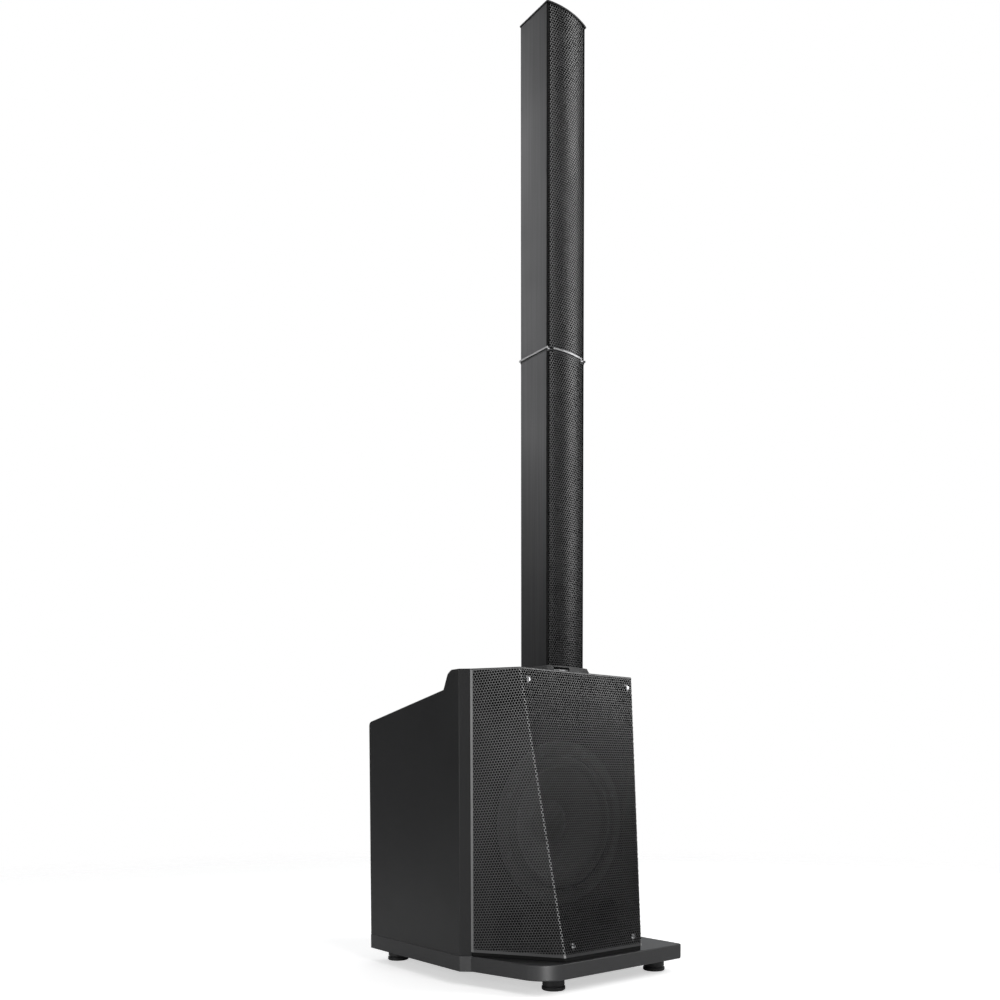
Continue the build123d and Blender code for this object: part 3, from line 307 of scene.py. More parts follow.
def front_facet(fold, top_share, holes):
    low = fold.flat_bottom
    high = share(fold.flat_bottom, fold.flat_top, top_share)
    outline = [Vector((-low.x, low.y)), low, high, Vector((-high.x, high.y))]
    guides = []
    for part in (0.5, 1.0):
        shift = Vector((fold.bend_length * part / fold.flat_along.y, 0))
        guides.append([low - shift, high - shift])
    guides += [mirrored(guide) for guide in guides]
    spots = screw_spots(fold)
    chosen = []
    for centre in holes:
        if not -SUB_HOLE < centre.y < high.y + SUB_HOLE:
            continue
        if edge_distance(Vector((abs(centre.x), centre.y)), low, high) < -SUB_HOLE:
            continue
        if all((centre - spot).length > SCREW_CLEARANCE for spot in spots):
            chosen.append(centre)
    bands = [(outline[0], outline[1], SUB_BOTTOM_BAND), (outline[2], outline[3], SUB_TOP_BAND)]
    corners, triangles = cut_sheet(outline, chosen, SUB_HOLE, guides, bands)
    return thick_sheet("grille_front_facet", corners, triangles, fold.place, SUB_FINISHES, fold.finish_at)


def side_facet(fold, top_share, holes, side):
    low = fold.flat_bottom
    high = share(fold.flat_bottom, fold.flat_top, top_share)
    edge_low = fold.flatten(fold.edge_bottom)
    edge_high = fold.flatten(share(fold.edge_bottom, fold.edge_top, top_share))
    outline = [low, edge_low, edge_high, high]
    guides = []
    for part in (0.5, 1.0):
        reach = fold.bend_length * part
        start = share(low, edge_low, reach / (edge_low - low).dot(fold.flat_across))
        end = share(high, edge_high, reach / (edge_high - high).dot(fold.flat_across))
        guides.append([start, end])
    sides = [(high, low), (low, edge_low), (edge_low, edge_high), (edge_high, high)]
    chosen = []
    for centre in holes:
        if all(edge_distance(centre, start, end) > -SUB_HOLE for start, end in sides):
            chosen.append(centre)
    bands = []
    for (start, end), width in zip(sides[1:], (SUB_BOTTOM_BAND, SUB_EDGE_BAND, SUB_TOP_BAND)):
        if side == "left":
            start, end = mirrored((start, end))
        bands.append((start, end, width))
    if side == "left":
        outline = mirrored(outline)
        guides = [mirrored(guide) for guide in guides]
        chosen = [Vector((-c.x, c.y)) for c in chosen]
    corners, triangles = cut_sheet(outline, chosen, SUB_HOLE, guides, bands)
    return thick_sheet(f"grille_{side}_facet", corners, triangles, fold.place, SUB_FINISHES, fold.finish_at)


def lip_profile():
    """Section of the grille's top lip as (depth below the top, inset) points, outside first, then inside."""
    outside = [(LIP_BEND, 0.0)]
    inside = [(LIP_BEND, SUB_SHEET)]
    for step in range(1, LIP_STEPS + 1):
        turn = math.pi / 2 * step / LIP_STEPS
        outside.append((LIP_BEND * (1 - math.sin(turn)), LIP_BEND * (1 - math.cos(turn))))
        inner = LIP_BEND - SUB_SHEET
        inside.append((LIP_BEND - inner * math.sin(turn), LIP_BEND - inner * math.cos(turn)))
    outside.append((0.0, LIP_WIDTH))
    inside.append((SUB_SHEET, LIP_WIDTH))
    return outside + inside[::-1]


def grille_lip(fold):
    """The sheet's top edge, bent back over the three facets."""
    rings = []
    for depth, inset in lip_profile():
        z = fold.top.z - depth
        front = fold.top.y - depth * fold.lean + inset * math.hypot(1, fold.lean)
        edge_x = fold.edge_top.x - inset * math.hypot(1, fold.slope)
        x = edge_x - (fold.edge_top.y - front) * fold.slope
        ring = [(-edge_x, fold.edge_top.y), (-x, front), (x, front), (edge_x, fold.edge_top.y)]
        rings.append([Vector((px, py, z)) for px, py in ring])
    vertices = [corner for ring in rings for corner in ring]
    count = len(rings)
    faces = []
    for k in range(count):
        after = (k + 1) % count
        for step in range(3):
            faces.append((4 * k + step, 4 * k + step + 1, 4 * after + step + 1, 4 * after + step))
    faces.append(tuple(4 * k for k in range(count)))
    faces.append(tuple(4 * k + 3 for k in reversed(range(count))))
    piece = make_mesh("grille_top_lip", vertices, faces)
    piece.data.materials.append(finish("grille_steel"))
    return piece


def cabinet_grille():
    fold = Fold()
    top_share = 1 - LIP_BEND / (fold.top.z - fold.bottom.z)
    edges = [fold.flatten(fold.edge_bottom), fold.flatten(fold.edge_top)]
    reach = max(edge.x for edge in edges)
    low_edge = min(edge.y for edge in edges)
    rows_down = int(max(-low_edge, 0) / (2 * SUB_PITCH * ROW_RATIO)) + 1
    drop = Vector((0, 2 * rows_down * SUB_PITCH * ROW_RATIO))
    height = fold.height + SUB_SPARE_HEIGHT + drop.y
    holes = [centre - drop for centre in staggered_holes(2 * reach, height, SUB_PITCH)]
    pieces = [front_facet(fold, top_share, holes)]
    pieces += [side_facet(fold, top_share, holes, side) for side in ("right", "left")]
    pieces.append(grille_lip(fold))
    for piece in pieces:
        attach(piece, "cabinet")
        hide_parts("sub_grille")


# ---- The column's bowed grilles ----
class Bow:
    """Plan of a column grille's sheet: a bowed front, two tight bends and two straight returns."""

    def __init__(self, node):
        low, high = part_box(node)
        self.half = high.x
        self.front = low.y
        self.back = high.y
        radius = (self.half**2 + COLUMN_SAG**2) / (2 * COLUMN_SAG)
        self.radius = radius
        self.centre_y = self.front + radius
        small = radius - COLUMN_BEND
        self.bend_x = self.half - COLUMN_BEND
        self.bend_y = self.centre_y - math.sqrt(small**2 - self.bend_x**2)
        self.half_angle = math.asin(self.bend_x / small)
        self.bow_length = radius * self.half_angle
        self.bend_length = COLUMN_BEND * (math.pi / 2 - self.half_angle)
        self.return_length = self.back - self.bend_y
        self.length = self.bow_length + self.bend_length + self.return_length

    def place(self, flat, base):
        """Outer and inner position of a point (path along the sheet, height)."""
        s = abs(flat.x)
        if s <= self.bow_length:
            turn = s / self.radius
            normal = Vector((math.sin(turn), -math.cos(turn), 0))
            outer = Vector((0, self.centre_y, 0)) + self.radius * normal
        elif s <= self.bow_length + self.bend_length:
            turn = self.half_angle + (s - self.bow_length) / COLUMN_BEND
            normal = Vector((math.sin(turn), -math.cos(turn), 0))
            outer = Vector((self.bend_x, self.bend_y, 0)) + COLUMN_BEND * normal
        else:
            normal = Vector((1, 0, 0))
            outer = Vector((self.half, self.bend_y + s - self.bow_length - self.bend_length, 0))
        inner = outer - normal * COLUMN_SHEET
        if flat.x < 0:
            outer.x = -outer.x
            inner.x = -inner.x
        lift = UP * (base + flat.y)
        return outer + lift, inner + lift


def column_grille(node, body):
    bow = Bow(node)
    low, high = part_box(node)
    height = high.z - low.z
    stations = [bow.bow_length * (2 * k / COLUMN_STEPS - 1) for k in range(COLUMN_STEPS + 1)]
    bend = bow.bow_length + bow.bend_length
    extras = [bow.bow_length + bow.bend_length / 2, bend, bow.length]
    stations = [-s for s in reversed(extras)] + stations + extras
    outline = [Vector((s, 0)) for s in stations] + [Vector((s, height)) for s in reversed(stations)]
    guides = []
    for s in (bow.bow_length, extras[0], bend):
        guides.append([Vector((s, 0)), Vector((s, height))])
        guides.append([Vector((-s, 0)), Vector((-s, height))])
    reach = bow.bow_length + bow.bend_length + COLUMN_RETURN_HOLES
    chosen = []
    for centre in staggered_holes(2 * reach, height, COLUMN_PITCH):
        if -COLUMN_HOLE < centre.y < height + COLUMN_HOLE and abs(centre.x) < reach:
            chosen.append(centre)
    corners, triangles = cut_sheet(outline, chosen, COLUMN_HOLE, guides)
    # The second finish paints the hole walls and inner face near black as shade.
    finishes = ("column_grille_steel", "grille_inside_painted_shade")
    name = node + "_perforated"
    piece = thick_sheet(name, corners, triangles, lambda flat: bow.place(flat, low.z), finishes)
    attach(piece, body)
    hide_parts(node)


# ---- Shader nodes ----
# A Mix node's sockets for the first value, the second value and the result.
COLOUR_SOCKETS = (6, 7, 2)
FLOAT_SOCKETS = (2, 3, 0)
# Matt black painted as shade behind the cabinet grille, inside the column shells and on their front edges.
PAINTED_SHADE_BLACK = {
    "Base Color": (0.0035, 0.0035, 0.0036, 1),
    "Metallic": 0.0,
    "Roughness": 0.7,
    "Specular IOR Level": 0.2,
}
SHELL_WALL = 0.0020
SHELL_BACK_WALL = 0.0035
SHELL_FRONT_EDGE = 0.0020
GRILLE_REAR_GAP = 0.0004
GRILLE_TOP_GAP = 0.0024
# Divides the threads per metre of a cloth to give the scale of its wave texture.
THREAD_SCALE = 6.3


def add_node(tree, kind, values=None, **settings):
    node = tree.nodes.new("ShaderNode" + kind)
    for key, value in settings.items():
        setattr(node, key, value)
    for key, value in (values or {}).items():
        node.inputs[key].default_value = value
    return node


def metres(tree, stretch=(1, 1, 1)):
    """Position on the object in metres, stretched along its axes."""
    place = add_node(tree, "TexCoord")
    mapping = add_node(tree, "Mapping", {"Scale": stretch})
    tree.links.new(place.outputs["Object"], mapping.inputs["Vector"])
    return mapping.outputs["Vector"]


def noise(tree, vector, scale, detail=2.0, rough=0.5):
    made = add_node(tree, "TexNoise", {"Scale": scale, "Detail": detail, "Roughness": rough})
    tree.links.new(vector, made.inputs["Vector"])
    return made.outputs["Fac"]


def remap(tree, value, low, high, start=0.3, end=0.7):
    """Turns a noise value into a number between low and high."""
    made = add_node(tree, "MapRange", {"From Min": start, "From Max": end, "To Min": low, "To Max": high})
    tree.links.new(value, made.inputs["Value"])
    return made.outputs["Result"]


def blend_colours(tree, value, dark, light):
    first, second, out = COLOUR_SOCKETS
    made = add_node(tree, "Mix", data_type="RGBA")
    made.inputs[first].default_value = (*dark, 1)
    made.inputs[second].default_value = (*light, 1)
    tree.links.new(value, made.inputs[0])
    return made.outputs[out]


def bump(tree, height, distance, strength=1.0, below=None):
    made = add_node(tree, "Bump", {"Strength": strength, "Distance": distance})
    tree.links.new(height, made.inputs["Height"])
    if below is not None:
        tree.links.new(below, made.inputs["Normal"])
    return made.outputs["Normal"]


def start_material(name, metallic=0.0, specular=0.5):
    made = bpy.data.materials.new(name)
    made.use_nodes = True
    tree = made.node_tree
    shader = tree.nodes["Principled BSDF"]
    shader.inputs["Metallic"].default_value = metallic
    shader.inputs["Specular IOR Level"].default_value = specular
    return made, tree, shader


def inside_limits(tree, limits):
    """One where the position's coordinates, X counted from the middle, are all below their limits."""
    split = add_node(tree, "SeparateXYZ")
    tree.links.new(metres(tree), split.inputs[0])
    product = None
    for axis, limit in limits:
        value = split.outputs[axis]
        if axis == "X":
            size = add_node(tree, "Math", operation="ABSOLUTE")
            tree.links.new(value, size.inputs[0])
            value = size.outputs[0]
        test = add_node(tree, "Math", operation="LESS_THAN")
        tree.links.new(value, test.inputs[0])
        test.inputs[1].default_value = limit
        if product is None:
            product = test.outputs[0]
            continue
        both = add_node(tree, "Math", operation="MULTIPLY")
        tree.links.new(product, both.inputs[0])
        tree.links.new(test.outputs[0], both.inputs[1])
        product = both.outputs[0]
    return product


def paint_shade(tree, shader, limits):
    """Turns a finish matt black inside the limits, as painted shade."""
    mask = inside_limits(tree, limits)
    for name, value in PAINTED_SHADE_BLACK.items():
        socket = shader.inputs[name]
        colour = name == "Base Color"
        mix = add_node(tree, "Mix", data_type="RGBA" if colour else "FLOAT")
        first, second, out = COLOUR_SOCKETS if colour else FLOAT_SOCKETS
        mix.inputs[first].default_value = socket.default_value
        mix.inputs[second].default_value = value
        if socket.is_linked:
            tree.links.new(socket.links[0].from_socket, mix.inputs[first])
        tree.links.new(mask, mix.inputs[0])
        tree.links.new(mix.outputs[out], socket)


def scaled(colour, factor):
    return tuple(min(1.0, channel * factor) for channel in colour)


def grained(name, colour, roughness, grain, depth, metallic=0.0, stretch=(1, 1, 1), vary=0.25, spread=0.06,
            specular=0.5):
    """A finish whose colour and roughness drift a little, with a fine grain of its own scale and depth."""
    made, tree, shader = start_material(name, metallic, specular)
    place = metres(tree)
    drift = noise(tree, place, 7.0, 3.0)
    fine = noise(tree, metres(tree, stretch), grain, 3.0, 0.6)
    dark, light = scaled(colour, 1 - vary), scaled(colour, 1 + vary)
    base = blend_colours(tree, remap(tree, fine, 0, 1), dark, light)
    tree.links.new(base, shader.inputs["Base Color"])
    rough = add_node(tree, "Math", operation="ADD")
    tree.links.new(remap(tree, drift, roughness - spread, roughness + spread), rough.inputs[0])
    tree.links.new(remap(tree, fine, -spread / 2, spread / 2), rough.inputs[1])
    tree.links.new(rough.outputs[0], shader.inputs["Roughness"])
    tree.links.new(bump(tree, fine, depth), shader.inputs["Normal"])
    return made


# ---- Finishes ----
def satin_paint():
    """Black paint over board: fine orange peel, a little dust, edges rubbed lighter."""
    made, tree, shader = start_material("cabinet_paint", specular=0.42)
    place = metres(tree)
    drift = noise(tree, place, 5.0, 3.0)
    peel = noise(tree, place, 420.0, 2.0)
    speck = noise(tree, place, 1400.0, 1.0)
    worn = worn_edges(tree, 0.0016)
    base = blend_colours(tree, remap(tree, speck, 0, 1), (0.0135, 0.0135, 0.0140), (0.0175, 0.0175, 0.0182))
    first, second, out = COLOUR_SOCKETS
    rubbed = add_node(tree, "Mix", data_type="RGBA")
    rubbed.inputs[second].default_value = (0.045, 0.045, 0.047, 1)
    tree.links.new(worn, rubbed.inputs[0])
    tree.links.new(base, rubbed.inputs[first])
    tree.links.new(rubbed.outputs[out], shader.inputs["Base Color"])
    tree.links.new(remap(tree, drift, 0.38, 0.48), shader.inputs["Roughness"])
    peeled = bump(tree, peel, 0.00012)
    tree.links.new(bump(tree, speck, 0.00003, below=peeled), shader.inputs["Normal"])
    return made


def worn_edges(tree, radius):
    """One on sharp edges and nought on flats, broken up by noise."""
    soft = add_node(tree, "Bevel", {"Radius": radius}, samples=4)
    geometry = add_node(tree, "NewGeometry")
    dot = add_node(tree, "VectorMath", operation="DOT_PRODUCT")
    tree.links.new(soft.outputs["Normal"], dot.inputs[0])
    tree.links.new(geometry.outputs["Normal"], dot.inputs[1])
    edge = remap(tree, dot.outputs["Value"], 1.0, 0.0, 0.80, 0.98)
    patches = remap(tree, noise(tree, metres(tree), 60.0, 4.0), 0.0, 1.0, 0.42, 0.62)
    both = add_node(tree, "Math", operation="MULTIPLY")
    tree.links.new(edge, both.inputs[0])
    tree.links.new(patches, both.inputs[1])
    return both.outputs[0]


def column_aluminium():
    """Dark grey satin extrusion with faint lines along its length, painted black as shade inside and as a
    shadow gap on its front edges.
    """
    made, tree, shader = start_material("column_aluminium", metallic=0.85)
    lines = noise(tree, metres(tree, (1, 1, 0.004)), 900.0, 3.0, 0.6)
    drift = noise(tree, metres(tree), 4.0, 2.0)
    grit = noise(tree, metres(tree), 2200.0, 1.0)
    base = blend_colours(tree, remap(tree, lines, 0, 1), (0.090, 0.090, 0.092), (0.125, 0.125, 0.128))
    tree.links.new(base, shader.inputs["Base Color"])
    tree.links.new(remap(tree, drift, 0.36, 0.46), shader.inputs["Roughness"])
    lined = bump(tree, lines, 0.00002)
    tree.links.new(bump(tree, grit, 0.00001, below=lined), shader.inputs["Normal"])
    low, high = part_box("lower_shell")
    # Painted shade inside the shell, then a painted shadow gap along its front edges.
    paint_shade(tree, shader, (("X", high.x - SHELL_WALL), ("Y", high.y - SHELL_BACK_WALL)))
    paint_shade(tree, shader, (("Y", low.y + SHELL_FRONT_EDGE),))
    return made


def brushed_plate():
    """Bare aluminium plate, brushed along X."""
    made, tree, shader = start_material("plate_aluminium", metallic=1.0)
    strokes = noise(tree, metres(tree, (0.02, 1, 1)), 1500.0, 3.0, 0.6)
    base = blend_colours(tree, remap(tree, strokes, 0, 1), (0.26, 0.26, 0.265), (0.40, 0.40, 0.405))
    tree.links.new(base, shader.inputs["Base Color"])
    tree.links.new(remap(tree, strokes, 0.34, 0.50), shader.inputs["Roughness"])
    tree.links.new(bump(tree, strokes, 0.00001), shader.inputs["Normal"])
    return made


def hood_plastic():
    """Moulded plastic, painted matt black as shade where the grille covers it."""
    made = grained("hood_plastic", (0.013, 0.013, 0.0137), 0.50, 1300.0, 0.00008, specular=0.35)
    _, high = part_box("sub_grille")
    tree = made.node_tree
    # Behind the grille: painted shade.
    limits = (("Y", high.y - GRILLE_REAR_GAP), ("Z", high.z - GRILLE_TOP_GAP))
    paint_shade(tree, tree.nodes["Principled BSDF"], limits)
    return made


def woven(name, colour, pitch, depth):
    """Impregnated cloth, woven along X and Z."""
    made, tree, shader = start_material(name)
    place = metres(tree)
    heights = []
    for direction in ("X", "Z"):
        wave = add_node(tree, "TexWave", {"Scale": 1 / pitch / THREAD_SCALE}, bands_direction=direction)
        tree.links.new(place, wave.inputs["Vector"])
        heights.append(wave.outputs["Fac"])
    weave = add_node(tree, "Math", operation="MULTIPLY")
    tree.links.new(heights[0], weave.inputs[0])
    tree.links.new(heights[1], weave.inputs[1])
    base = blend_colours(tree, weave.outputs[0], scaled(colour, 0.6), scaled(colour, 1.2))
    tree.links.new(base, shader.inputs["Base Color"])
    tree.links.new(remap(tree, weave.outputs[0], 0.95, 0.75, 0, 1), shader.inputs["Roughness"])
    tree.links.new(bump(tree, weave.outputs[0], depth), shader.inputs["Normal"])
    return made


def circuit_laminate():
    """Green board with paler tracks."""
    made, tree, shader = start_material("board_laminate")
    bricks = add_node(tree, "TexBrick", {"Scale": 60.0, "Mortar Size": 0.03})
    bricks.inputs["Color1"].default_value = (0.010, 0.070, 0.030, 1)
    bricks.inputs["Color2"].default_value = (0.012, 0.085, 0.036, 1)
    bricks.inputs["Mortar"].default_value = (0.060, 0.180, 0.090, 1)
    tree.links.new(metres(tree), bricks.inputs["Vector"])
    tree.links.new(bricks.outputs["Color"], shader.inputs["Base Color"])
    tree.links.new(remap(tree, bricks.outputs["Fac"], 0.30, 0.45, 0, 1), shader.inputs["Roughness"])
    tree.links.new(bump(tree, bricks.outputs["Fac"], 0.00002), shader.inputs["Normal"])
    return made


FINISHES = {
    "cabinet_paint": satin_paint,
    "column_aluminium": column_aluminium,
    "plate_aluminium": brushed_plate,
    "board_laminate": circuit_laminate,
    "spider_cloth": lambda: woven("spider_cloth", (0.42, 0.28, 0.11), 0.0012, 0.0002),
    "hood_plastic": hood_plastic,
}
# Colour, roughness, grain scale and grain depth of each grained finish, then other settings of grained().
GRAINED = {
    "foot_rubber": ((0.024, 0.024, 0.025), 0.55, 900.0, 0.00008, {}),
    "black_screw_steel": ((0.05, 0.05, 0.052), 0.36, 1500.0, 0.00001, {"metallic": 0.8}),
    "moulded_plastic": ((0.017, 0.017, 0.018), 0.50, 1300.0, 0.00008, {}),
    "socket_plastic": ((0.030, 0.030, 0.032), 0.34, 1600.0, 0.00003, {}),
    "grille_steel": ((0.026, 0.026, 0.027), 0.36, 1200.0, 0.00002, {"specular": 0.9}),
    # Near black on the grilles' hole walls and inner faces: painted shade.
    "grille_inside_painted_shade": ((0.006, 0.006, 0.006), 0.60, 1200.0, 0.00002, {"specular": 0.3}),
    # Pale grey on the bend of the fold: a painted highlight.
    "grille_fold_painted_highlight": ((0.42, 0.42, 0.42), 0.30, 1500.0, 0.00002, {"specular": 1.0}),
    # Lighter grey along the grille's side edge: a painted highlight.
    "grille_edge_painted_highlight": ((0.13, 0.13, 0.13), 0.34, 1200.0, 0.00002, {"specular": 0.9}),
    # Near white on the column's lower bottom plate, which sits in shadow: a painted highlight.
    "plate_painted_highlight": ((0.85, 0.85, 0.86), 0.32, 1500.0, 0.00001,
                     {"metallic": 0.5, "stretch": (0.02, 1, 1), "vary": 0.1}),
    "bright_screw_steel": ((0.50, 0.50, 0.51), 0.24, 1500.0, 0.000005, {"metallic": 1.0}),
    # Black steel, darkened further as painted shade for the woofer frame behind the grille.
    "frame_steel": ((0.0075, 0.0075, 0.0078), 0.50, 900.0, 0.00004, {}),
    "gasket_foam": ((0.020, 0.020, 0.020), 0.9, 1100.0, 0.0003, {}),
    "ferrite": ((0.045, 0.045, 0.048), 0.55, 500.0, 0.00006, {}),
    "plated_steel": ((0.52, 0.53, 0.52), 0.32, 500.0, 0.00001, {"metallic": 1.0}),
    "surround_rubber": ((0.0060, 0.0060, 0.0063), 0.55, 1200.0, 0.00004, {}),
    "panel_aluminium": ((0.022, 0.022, 0.023), 0.44, 1500.0, 0.00004, {"metallic": 0.2}),
    "heat_sink_aluminium": ((0.110, 0.110, 0.114), 0.40, 900.0, 0.00002,
                            {"metallic": 0.7, "stretch": (1, 1, 0.02)}),
    "component_plastic": ((0.030, 0.032, 0.060), 0.30, 400.0, 0.00002, {}),
    "cable_plastic": ((0.016, 0.016, 0.016), 0.38, 700.0, 0.00003, {}),
    "cone_paper": ((0.018, 0.018, 0.0185), 0.60, 700.0, 0.00020, {"vary": 0.4}),
    "coil_aluminium": ((0.60, 0.42, 0.28), 0.35, 300.0, 0.00002,
                       {"metallic": 1.0, "stretch": (0.02, 1, 0.02)}),
    "column_grille_steel": ((0.030, 0.030, 0.031), 0.36, 1500.0, 0.00002, {"specular": 0.9}),
    # Near black on the parts behind the grilles, darker than their own finish: painted shade.
    "inner_paint": ((0.0045, 0.0045, 0.0046), 0.70, 500.0, 0.0001, {"specular": 0.25}),
    "cap_plastic": ((0.016, 0.016, 0.017), 0.42, 1400.0, 0.00004, {}),
    "contact_brass": ((0.72, 0.52, 0.22), 0.25, 900.0, 0.000005, {"metallic": 1.0}),
    "knob_plastic": ((0.060, 0.060, 0.062), 0.45, 1500.0, 0.00005, {}),
    "rocker_plastic": ((0.015, 0.015, 0.015), 0.22, 900.0, 0.00001, {}),
}
# The parts behind the grilles take inner_paint, darker than their own finish, as painted shade.
NODE_FINISHES = {
    "baffle_board": "inner_paint",
    "baffle_cheeks": "inner_paint",
    "nose_base": "inner_paint",
    "port_tubes": "inner_paint",
    # The lower bottom plate is lightened as a painted highlight.
    "lower_bottom_plate": "plate_painted_highlight",
    "lower_drivers": "inner_paint",
    "upper_drivers": "inner_paint",
    "lower_surrounds": "inner_paint",
    "upper_surrounds": "inner_paint",
    "lower_cones": "inner_paint",
    "upper_cones": "inner_paint",
    "front_hood": "hood_plastic",
}
_made = {}


def finish(slot):
    """The material of a finish, made when it is first asked for."""
    if slot not in _made:
        if slot in GRAINED:
            *look, settings = GRAINED[slot]
            _made[slot] = grained(slot, *look, **settings)
        else:
            _made[slot] = FINISHES[slot]()
    return _made[slot]


def paint_cad_nodes():
    for part in frame["record"]["subparts"]:
        slot = NODE_FINISHES.get(part["node"], part["material_slot"])
        for place in NODES[part["node"]].material_slots:
            place.link = "OBJECT"
            place.material = finish(slot)


# ---- Softened edges on CAD pieces ----
FLAT_ANGLE = math.radians(0.5)
SHARP_ANGLE = math.radians(32)
SOFT_SEGMENTS = 3
SOFT_EDGES = {
    "left_side_panel": 0.0016,
    "right_side_panel": 0.0016,
    "top_panel": 0.0008,
    "back_panel": 0.0008,
    "front_hood": 0.0012,
    "column_collar": 0.0012,
    "nose_base": 0.0010,
    "carry_handle": 0.0008,
    "amp_panel": 0.0006,
    "lower_shell": 0.0004,
    "upper_shell": 0.0004,
    "lower_bottom_plate": 0.0004,
    "upper_bottom_plate": 0.0004,
    "lower_top_plate": 0.0003,
    "upper_top_cap": 0.0008,
    "heat_sink": 0.0003,
    "lower_plug": 0.0004,
    "upper_plug": 0.0004,
    "mode_button": 0.0003,
    "power_rocker": 0.0004,
    "rocker_frame": 0.0005,
    "mains_inlet": 0.0005,
    "input_sockets": 0.0003,
}


def soften(name, width):
    piece = NODES[name]
    mesh = piece.data
    custom = mesh.attributes.get("custom_normal")
    if custom is not None:
        mesh.attributes.remove(custom)
    mesh.polygons.foreach_set("use_smooth", [True] * len(mesh.polygons))
    weld = piece.modifiers.new("weld", "WELD")
    weld.merge_threshold = WELD_GAP
    flat = piece.modifiers.new("merge_flats", "DECIMATE")
    flat.decimate_type = "DISSOLVE"
    flat.angle_limit = FLAT_ANGLE
    bevel = piece.modifiers.new("soft_edge", "BEVEL")
    bevel.width = width
    bevel.segments = SOFT_SEGMENTS
    bevel.limit_method = "ANGLE"
    bevel.angle_limit = SHARP_ANGLE
    bevel.harden_normals = True
    bevel.use_clamp_overlap = True


# ---- Studio ----
REAR_NODES = (
    "back_panel", "amp_panel", "amp_tray", "heat_sink", "input_sockets", "mains_inlet", "rocker_frame",
    "power_rocker", "mode_button", "mic_knob", "line_knob", "bass_knob", "carry_handle",
)
CAMERA_PLACE = (-1.2452, -1.5108, 0.4004)
CAMERA_TURN = (86.87, 0.0, -40.12)
CAMERA_LENS = 33.57
CAMERA_SHIFT = (-0.0321, 0.3276)
FLOOR_GLOW = 0.55
FLOOR_REACH = 9.0
FLOOR_FADE = (1.2, 3.2)
BACKDROP_SEEN = 1.0
BACKDROP_LIGHT = (0.05, 0.75)
BACKDROP_FACING = (0.35, 0.95)


def floor():
    """Pale floor that fades into the backdrop."""
    reach = FLOOR_REACH
    corners = [(-reach, -reach, 0), (reach, -reach, 0), (reach, reach, 0), (-reach, reach, 0)]
    piece = make_mesh("studio_floor", corners, [(0, 1, 2, 3)])
    made, tree, shader = start_material("studio_floor_paint")
    place = metres(tree)
    grain = noise(tree, place, 30.0)
    base = blend_colours(tree, grain, (0.90, 0.90, 0.90), (0.92, 0.92, 0.92))
    tree.links.new(base, shader.inputs["Base Color"])
    shader.inputs["Roughness"].default_value = 0.85
    shader.inputs["Specular IOR Level"].default_value = 0.1
    shader.inputs["Emission Color"].default_value = (1, 1, 1, 1)
    seen = add_node(tree, "LightPath")
    glow = remap(tree, seen.outputs["Is Camera Ray"], 0.0, FLOOR_GLOW, 0, 1)
    tree.links.new(glow, shader.inputs["Emission Strength"])
    fade = add_node(tree, "VectorMath", operation="LENGTH")
    tree.links.new(place, fade.inputs[0])
    clear = add_node(tree, "BsdfTransparent")
    mix = add_node(tree, "MixShader")
    tree.links.new(remap(tree, fade.outputs["Value"], 0.0, 1.0, *FLOOR_FADE), mix.inputs[0])
    tree.links.new(shader.outputs[0], mix.inputs[1])
    tree.links.new(clear.outputs[0], mix.inputs[2])
    tree.links.new(mix.outputs[0], tree.nodes["Material Output"].inputs["Surface"])
    piece.data.materials.append(made)


def backdrop():
    """White seen directly; the light it gives is strongest from the wall behind the object."""
    world = bpy.data.worlds.new("studio")
    bpy.context.scene.world = world
    world.use_nodes = True
    tree = world.node_tree
    lit = tree.nodes["Background"]
    lit.inputs["Color"].default_value = (0.96, 0.98, 1.0, 1)
    way = add_node(tree, "TexCoord")
    facing = add_node(tree, "VectorMath", operation="DOT_PRODUCT")
    turn = math.radians(-CAMERA_TURN[2])
    facing.inputs[1].default_value = (math.sin(turn), math.cos(turn), 0)
    tree.links.new(way.outputs["Generated"], facing.inputs[0])
    strength = remap(tree, facing.outputs["Value"], *BACKDROP_LIGHT, *BACKDROP_FACING)
    tree.links.new(strength, lit.inputs["Strength"])
    seen = add_node(tree, "Background", {"Color": (1, 1, 1, 1), "Strength": BACKDROP_SEEN})
    path = add_node(tree, "LightPath")
    mix = add_node(tree, "MixShader")
    tree.links.new(path.outputs["Is Camera Ray"], mix.inputs[0])
    tree.links.new(lit.outputs[0], mix.inputs[1])
    tree.links.new(seen.outputs[0], mix.inputs[2])
    tree.links.new(mix.outputs[0], tree.nodes["World Output"].inputs["Surface"])


def softbox(name, place, aim, width, height, power, only=()):
    """An area light that the camera doesn't see; given nodes in only, it lights nothing else."""
    lamp = bpy.data.lights.new(name, "AREA")
    lamp.shape = "RECTANGLE"
    lamp.size = width
    lamp.size_y = height
    lamp.energy = power
    holder = bpy.data.objects.new(name, lamp)
    holder.location = place
    holder.rotation_euler = (Vector(aim) - Vector(place)).to_track_quat("-Z", "Y").to_euler()
    holder.visible_camera = False
    bpy.context.scene.collection.objects.link(holder)
    if only:
        lit = bpy.data.collections.new(name + "_receivers")
        for node in only:
            lit.objects.link(NODES[node])
        holder.light_linking.receiver_collection = lit


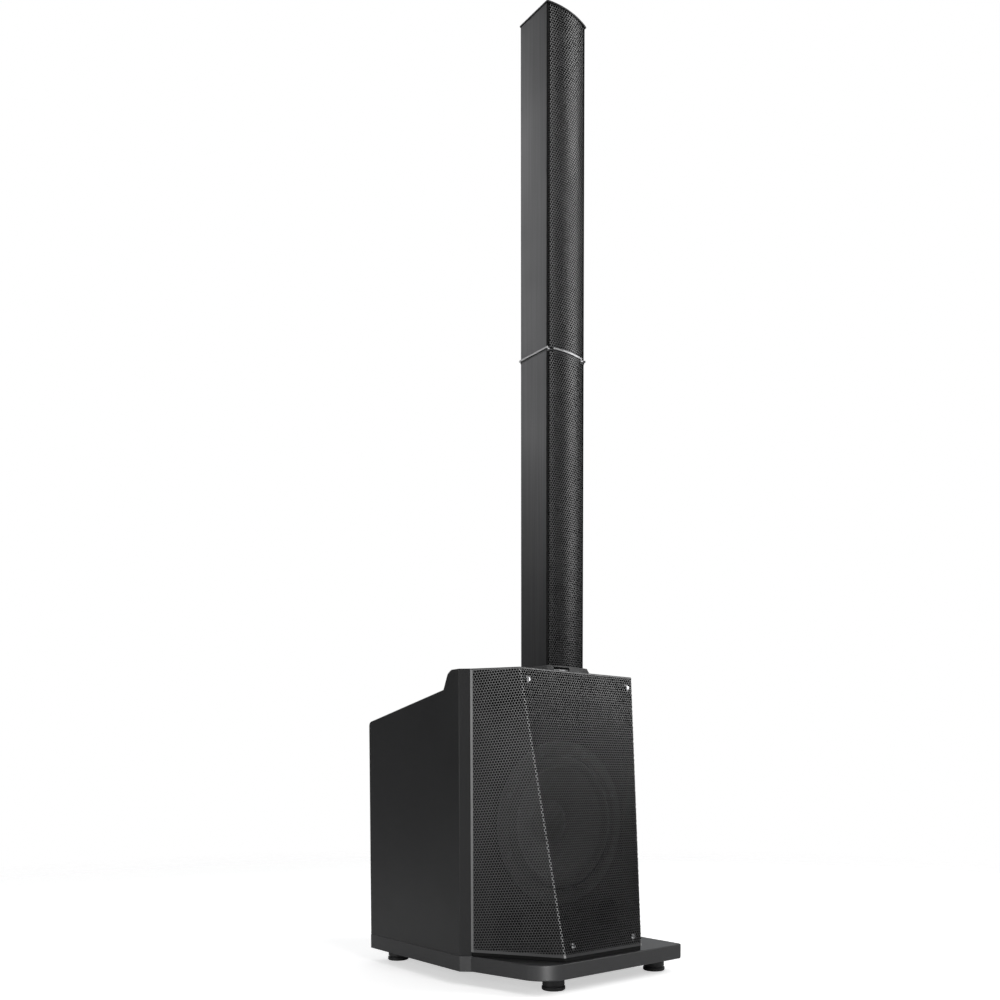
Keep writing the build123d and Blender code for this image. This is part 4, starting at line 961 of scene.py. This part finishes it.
def camera():
    lens = bpy.data.cameras.new("view")
    lens.lens = CAMERA_LENS
    lens.sensor_width = 36.0
    lens.clip_start = 0.05
    lens.clip_end = 50
    holder = bpy.data.objects.new("view", lens)
    holder.location = CAMERA_PLACE
    holder.rotation_euler = [math.radians(turn) for turn in CAMERA_TURN]
    bpy.context.scene.collection.objects.link(holder)
    bpy.context.scene.camera = holder
    shift_only_here(holder, lens)


def shift_only_here(holder, lens):
    """The lens is shifted at the main viewpoint, and centred when the camera stands anywhere else."""
    mark = bpy.data.objects.new("main_viewpoint", None)
    mark.location = CAMERA_PLACE
    bpy.context.scene.collection.objects.link(mark)
    for channel, amount in zip(("shift_x", "shift_y"), CAMERA_SHIFT):
        driver = lens.driver_add(channel).driver
        gap = driver.variables.new()
        gap.name = "gap"
        gap.type = "LOC_DIFF"
        gap.targets[0].id = holder
        gap.targets[1].id = mark
        driver.expression = f"{amount} * (gap < 0.01)"


def view_settings():
    scene = bpy.context.scene
    scene.view_settings.view_transform = "Standard"
    scene.view_settings.look = "None"


paint_cad_nodes()
for node_name, edge_width in SOFT_EDGES.items():
    soften(node_name, edge_width)
cabinet_grille()
column_grille("lower_grille", "lower_column")
column_grille("upper_grille", "upper_column")
floor()
backdrop()
softbox("left", (-2.8, -0.55, 0.95), (0, -0.1, 0.7), 1.3, 1.5, 22)
softbox("front_right", (2.25, -1.95, 2.65), (0, -0.1, 1.25), 0.9, 3.1, 57)
softbox("front", (-0.2, -3.2, 2.9), (0, -0.2, 1.3), 1.3, 3.0, 46)
softbox("corner", (-1.3, -2.3, 0.25), (-0.2, -0.3, 0.03), 0.45, 0.4, 62, ("base_plinth",))
softbox("rear", (0.9, 2.7, 1.2), (0, 0.2, 0.4), 1.3, 1.3, 50, REAR_NODES)
softbox("behind_left", (-2.1, 2.4, 3.0), (0, 0, 1.2), 1.2, 2.0, 18)
softbox("overhead", (0.2, 0.3, 4.2), (0, 0, 0), 2.4, 2.4, 36)
camera()
view_settings()
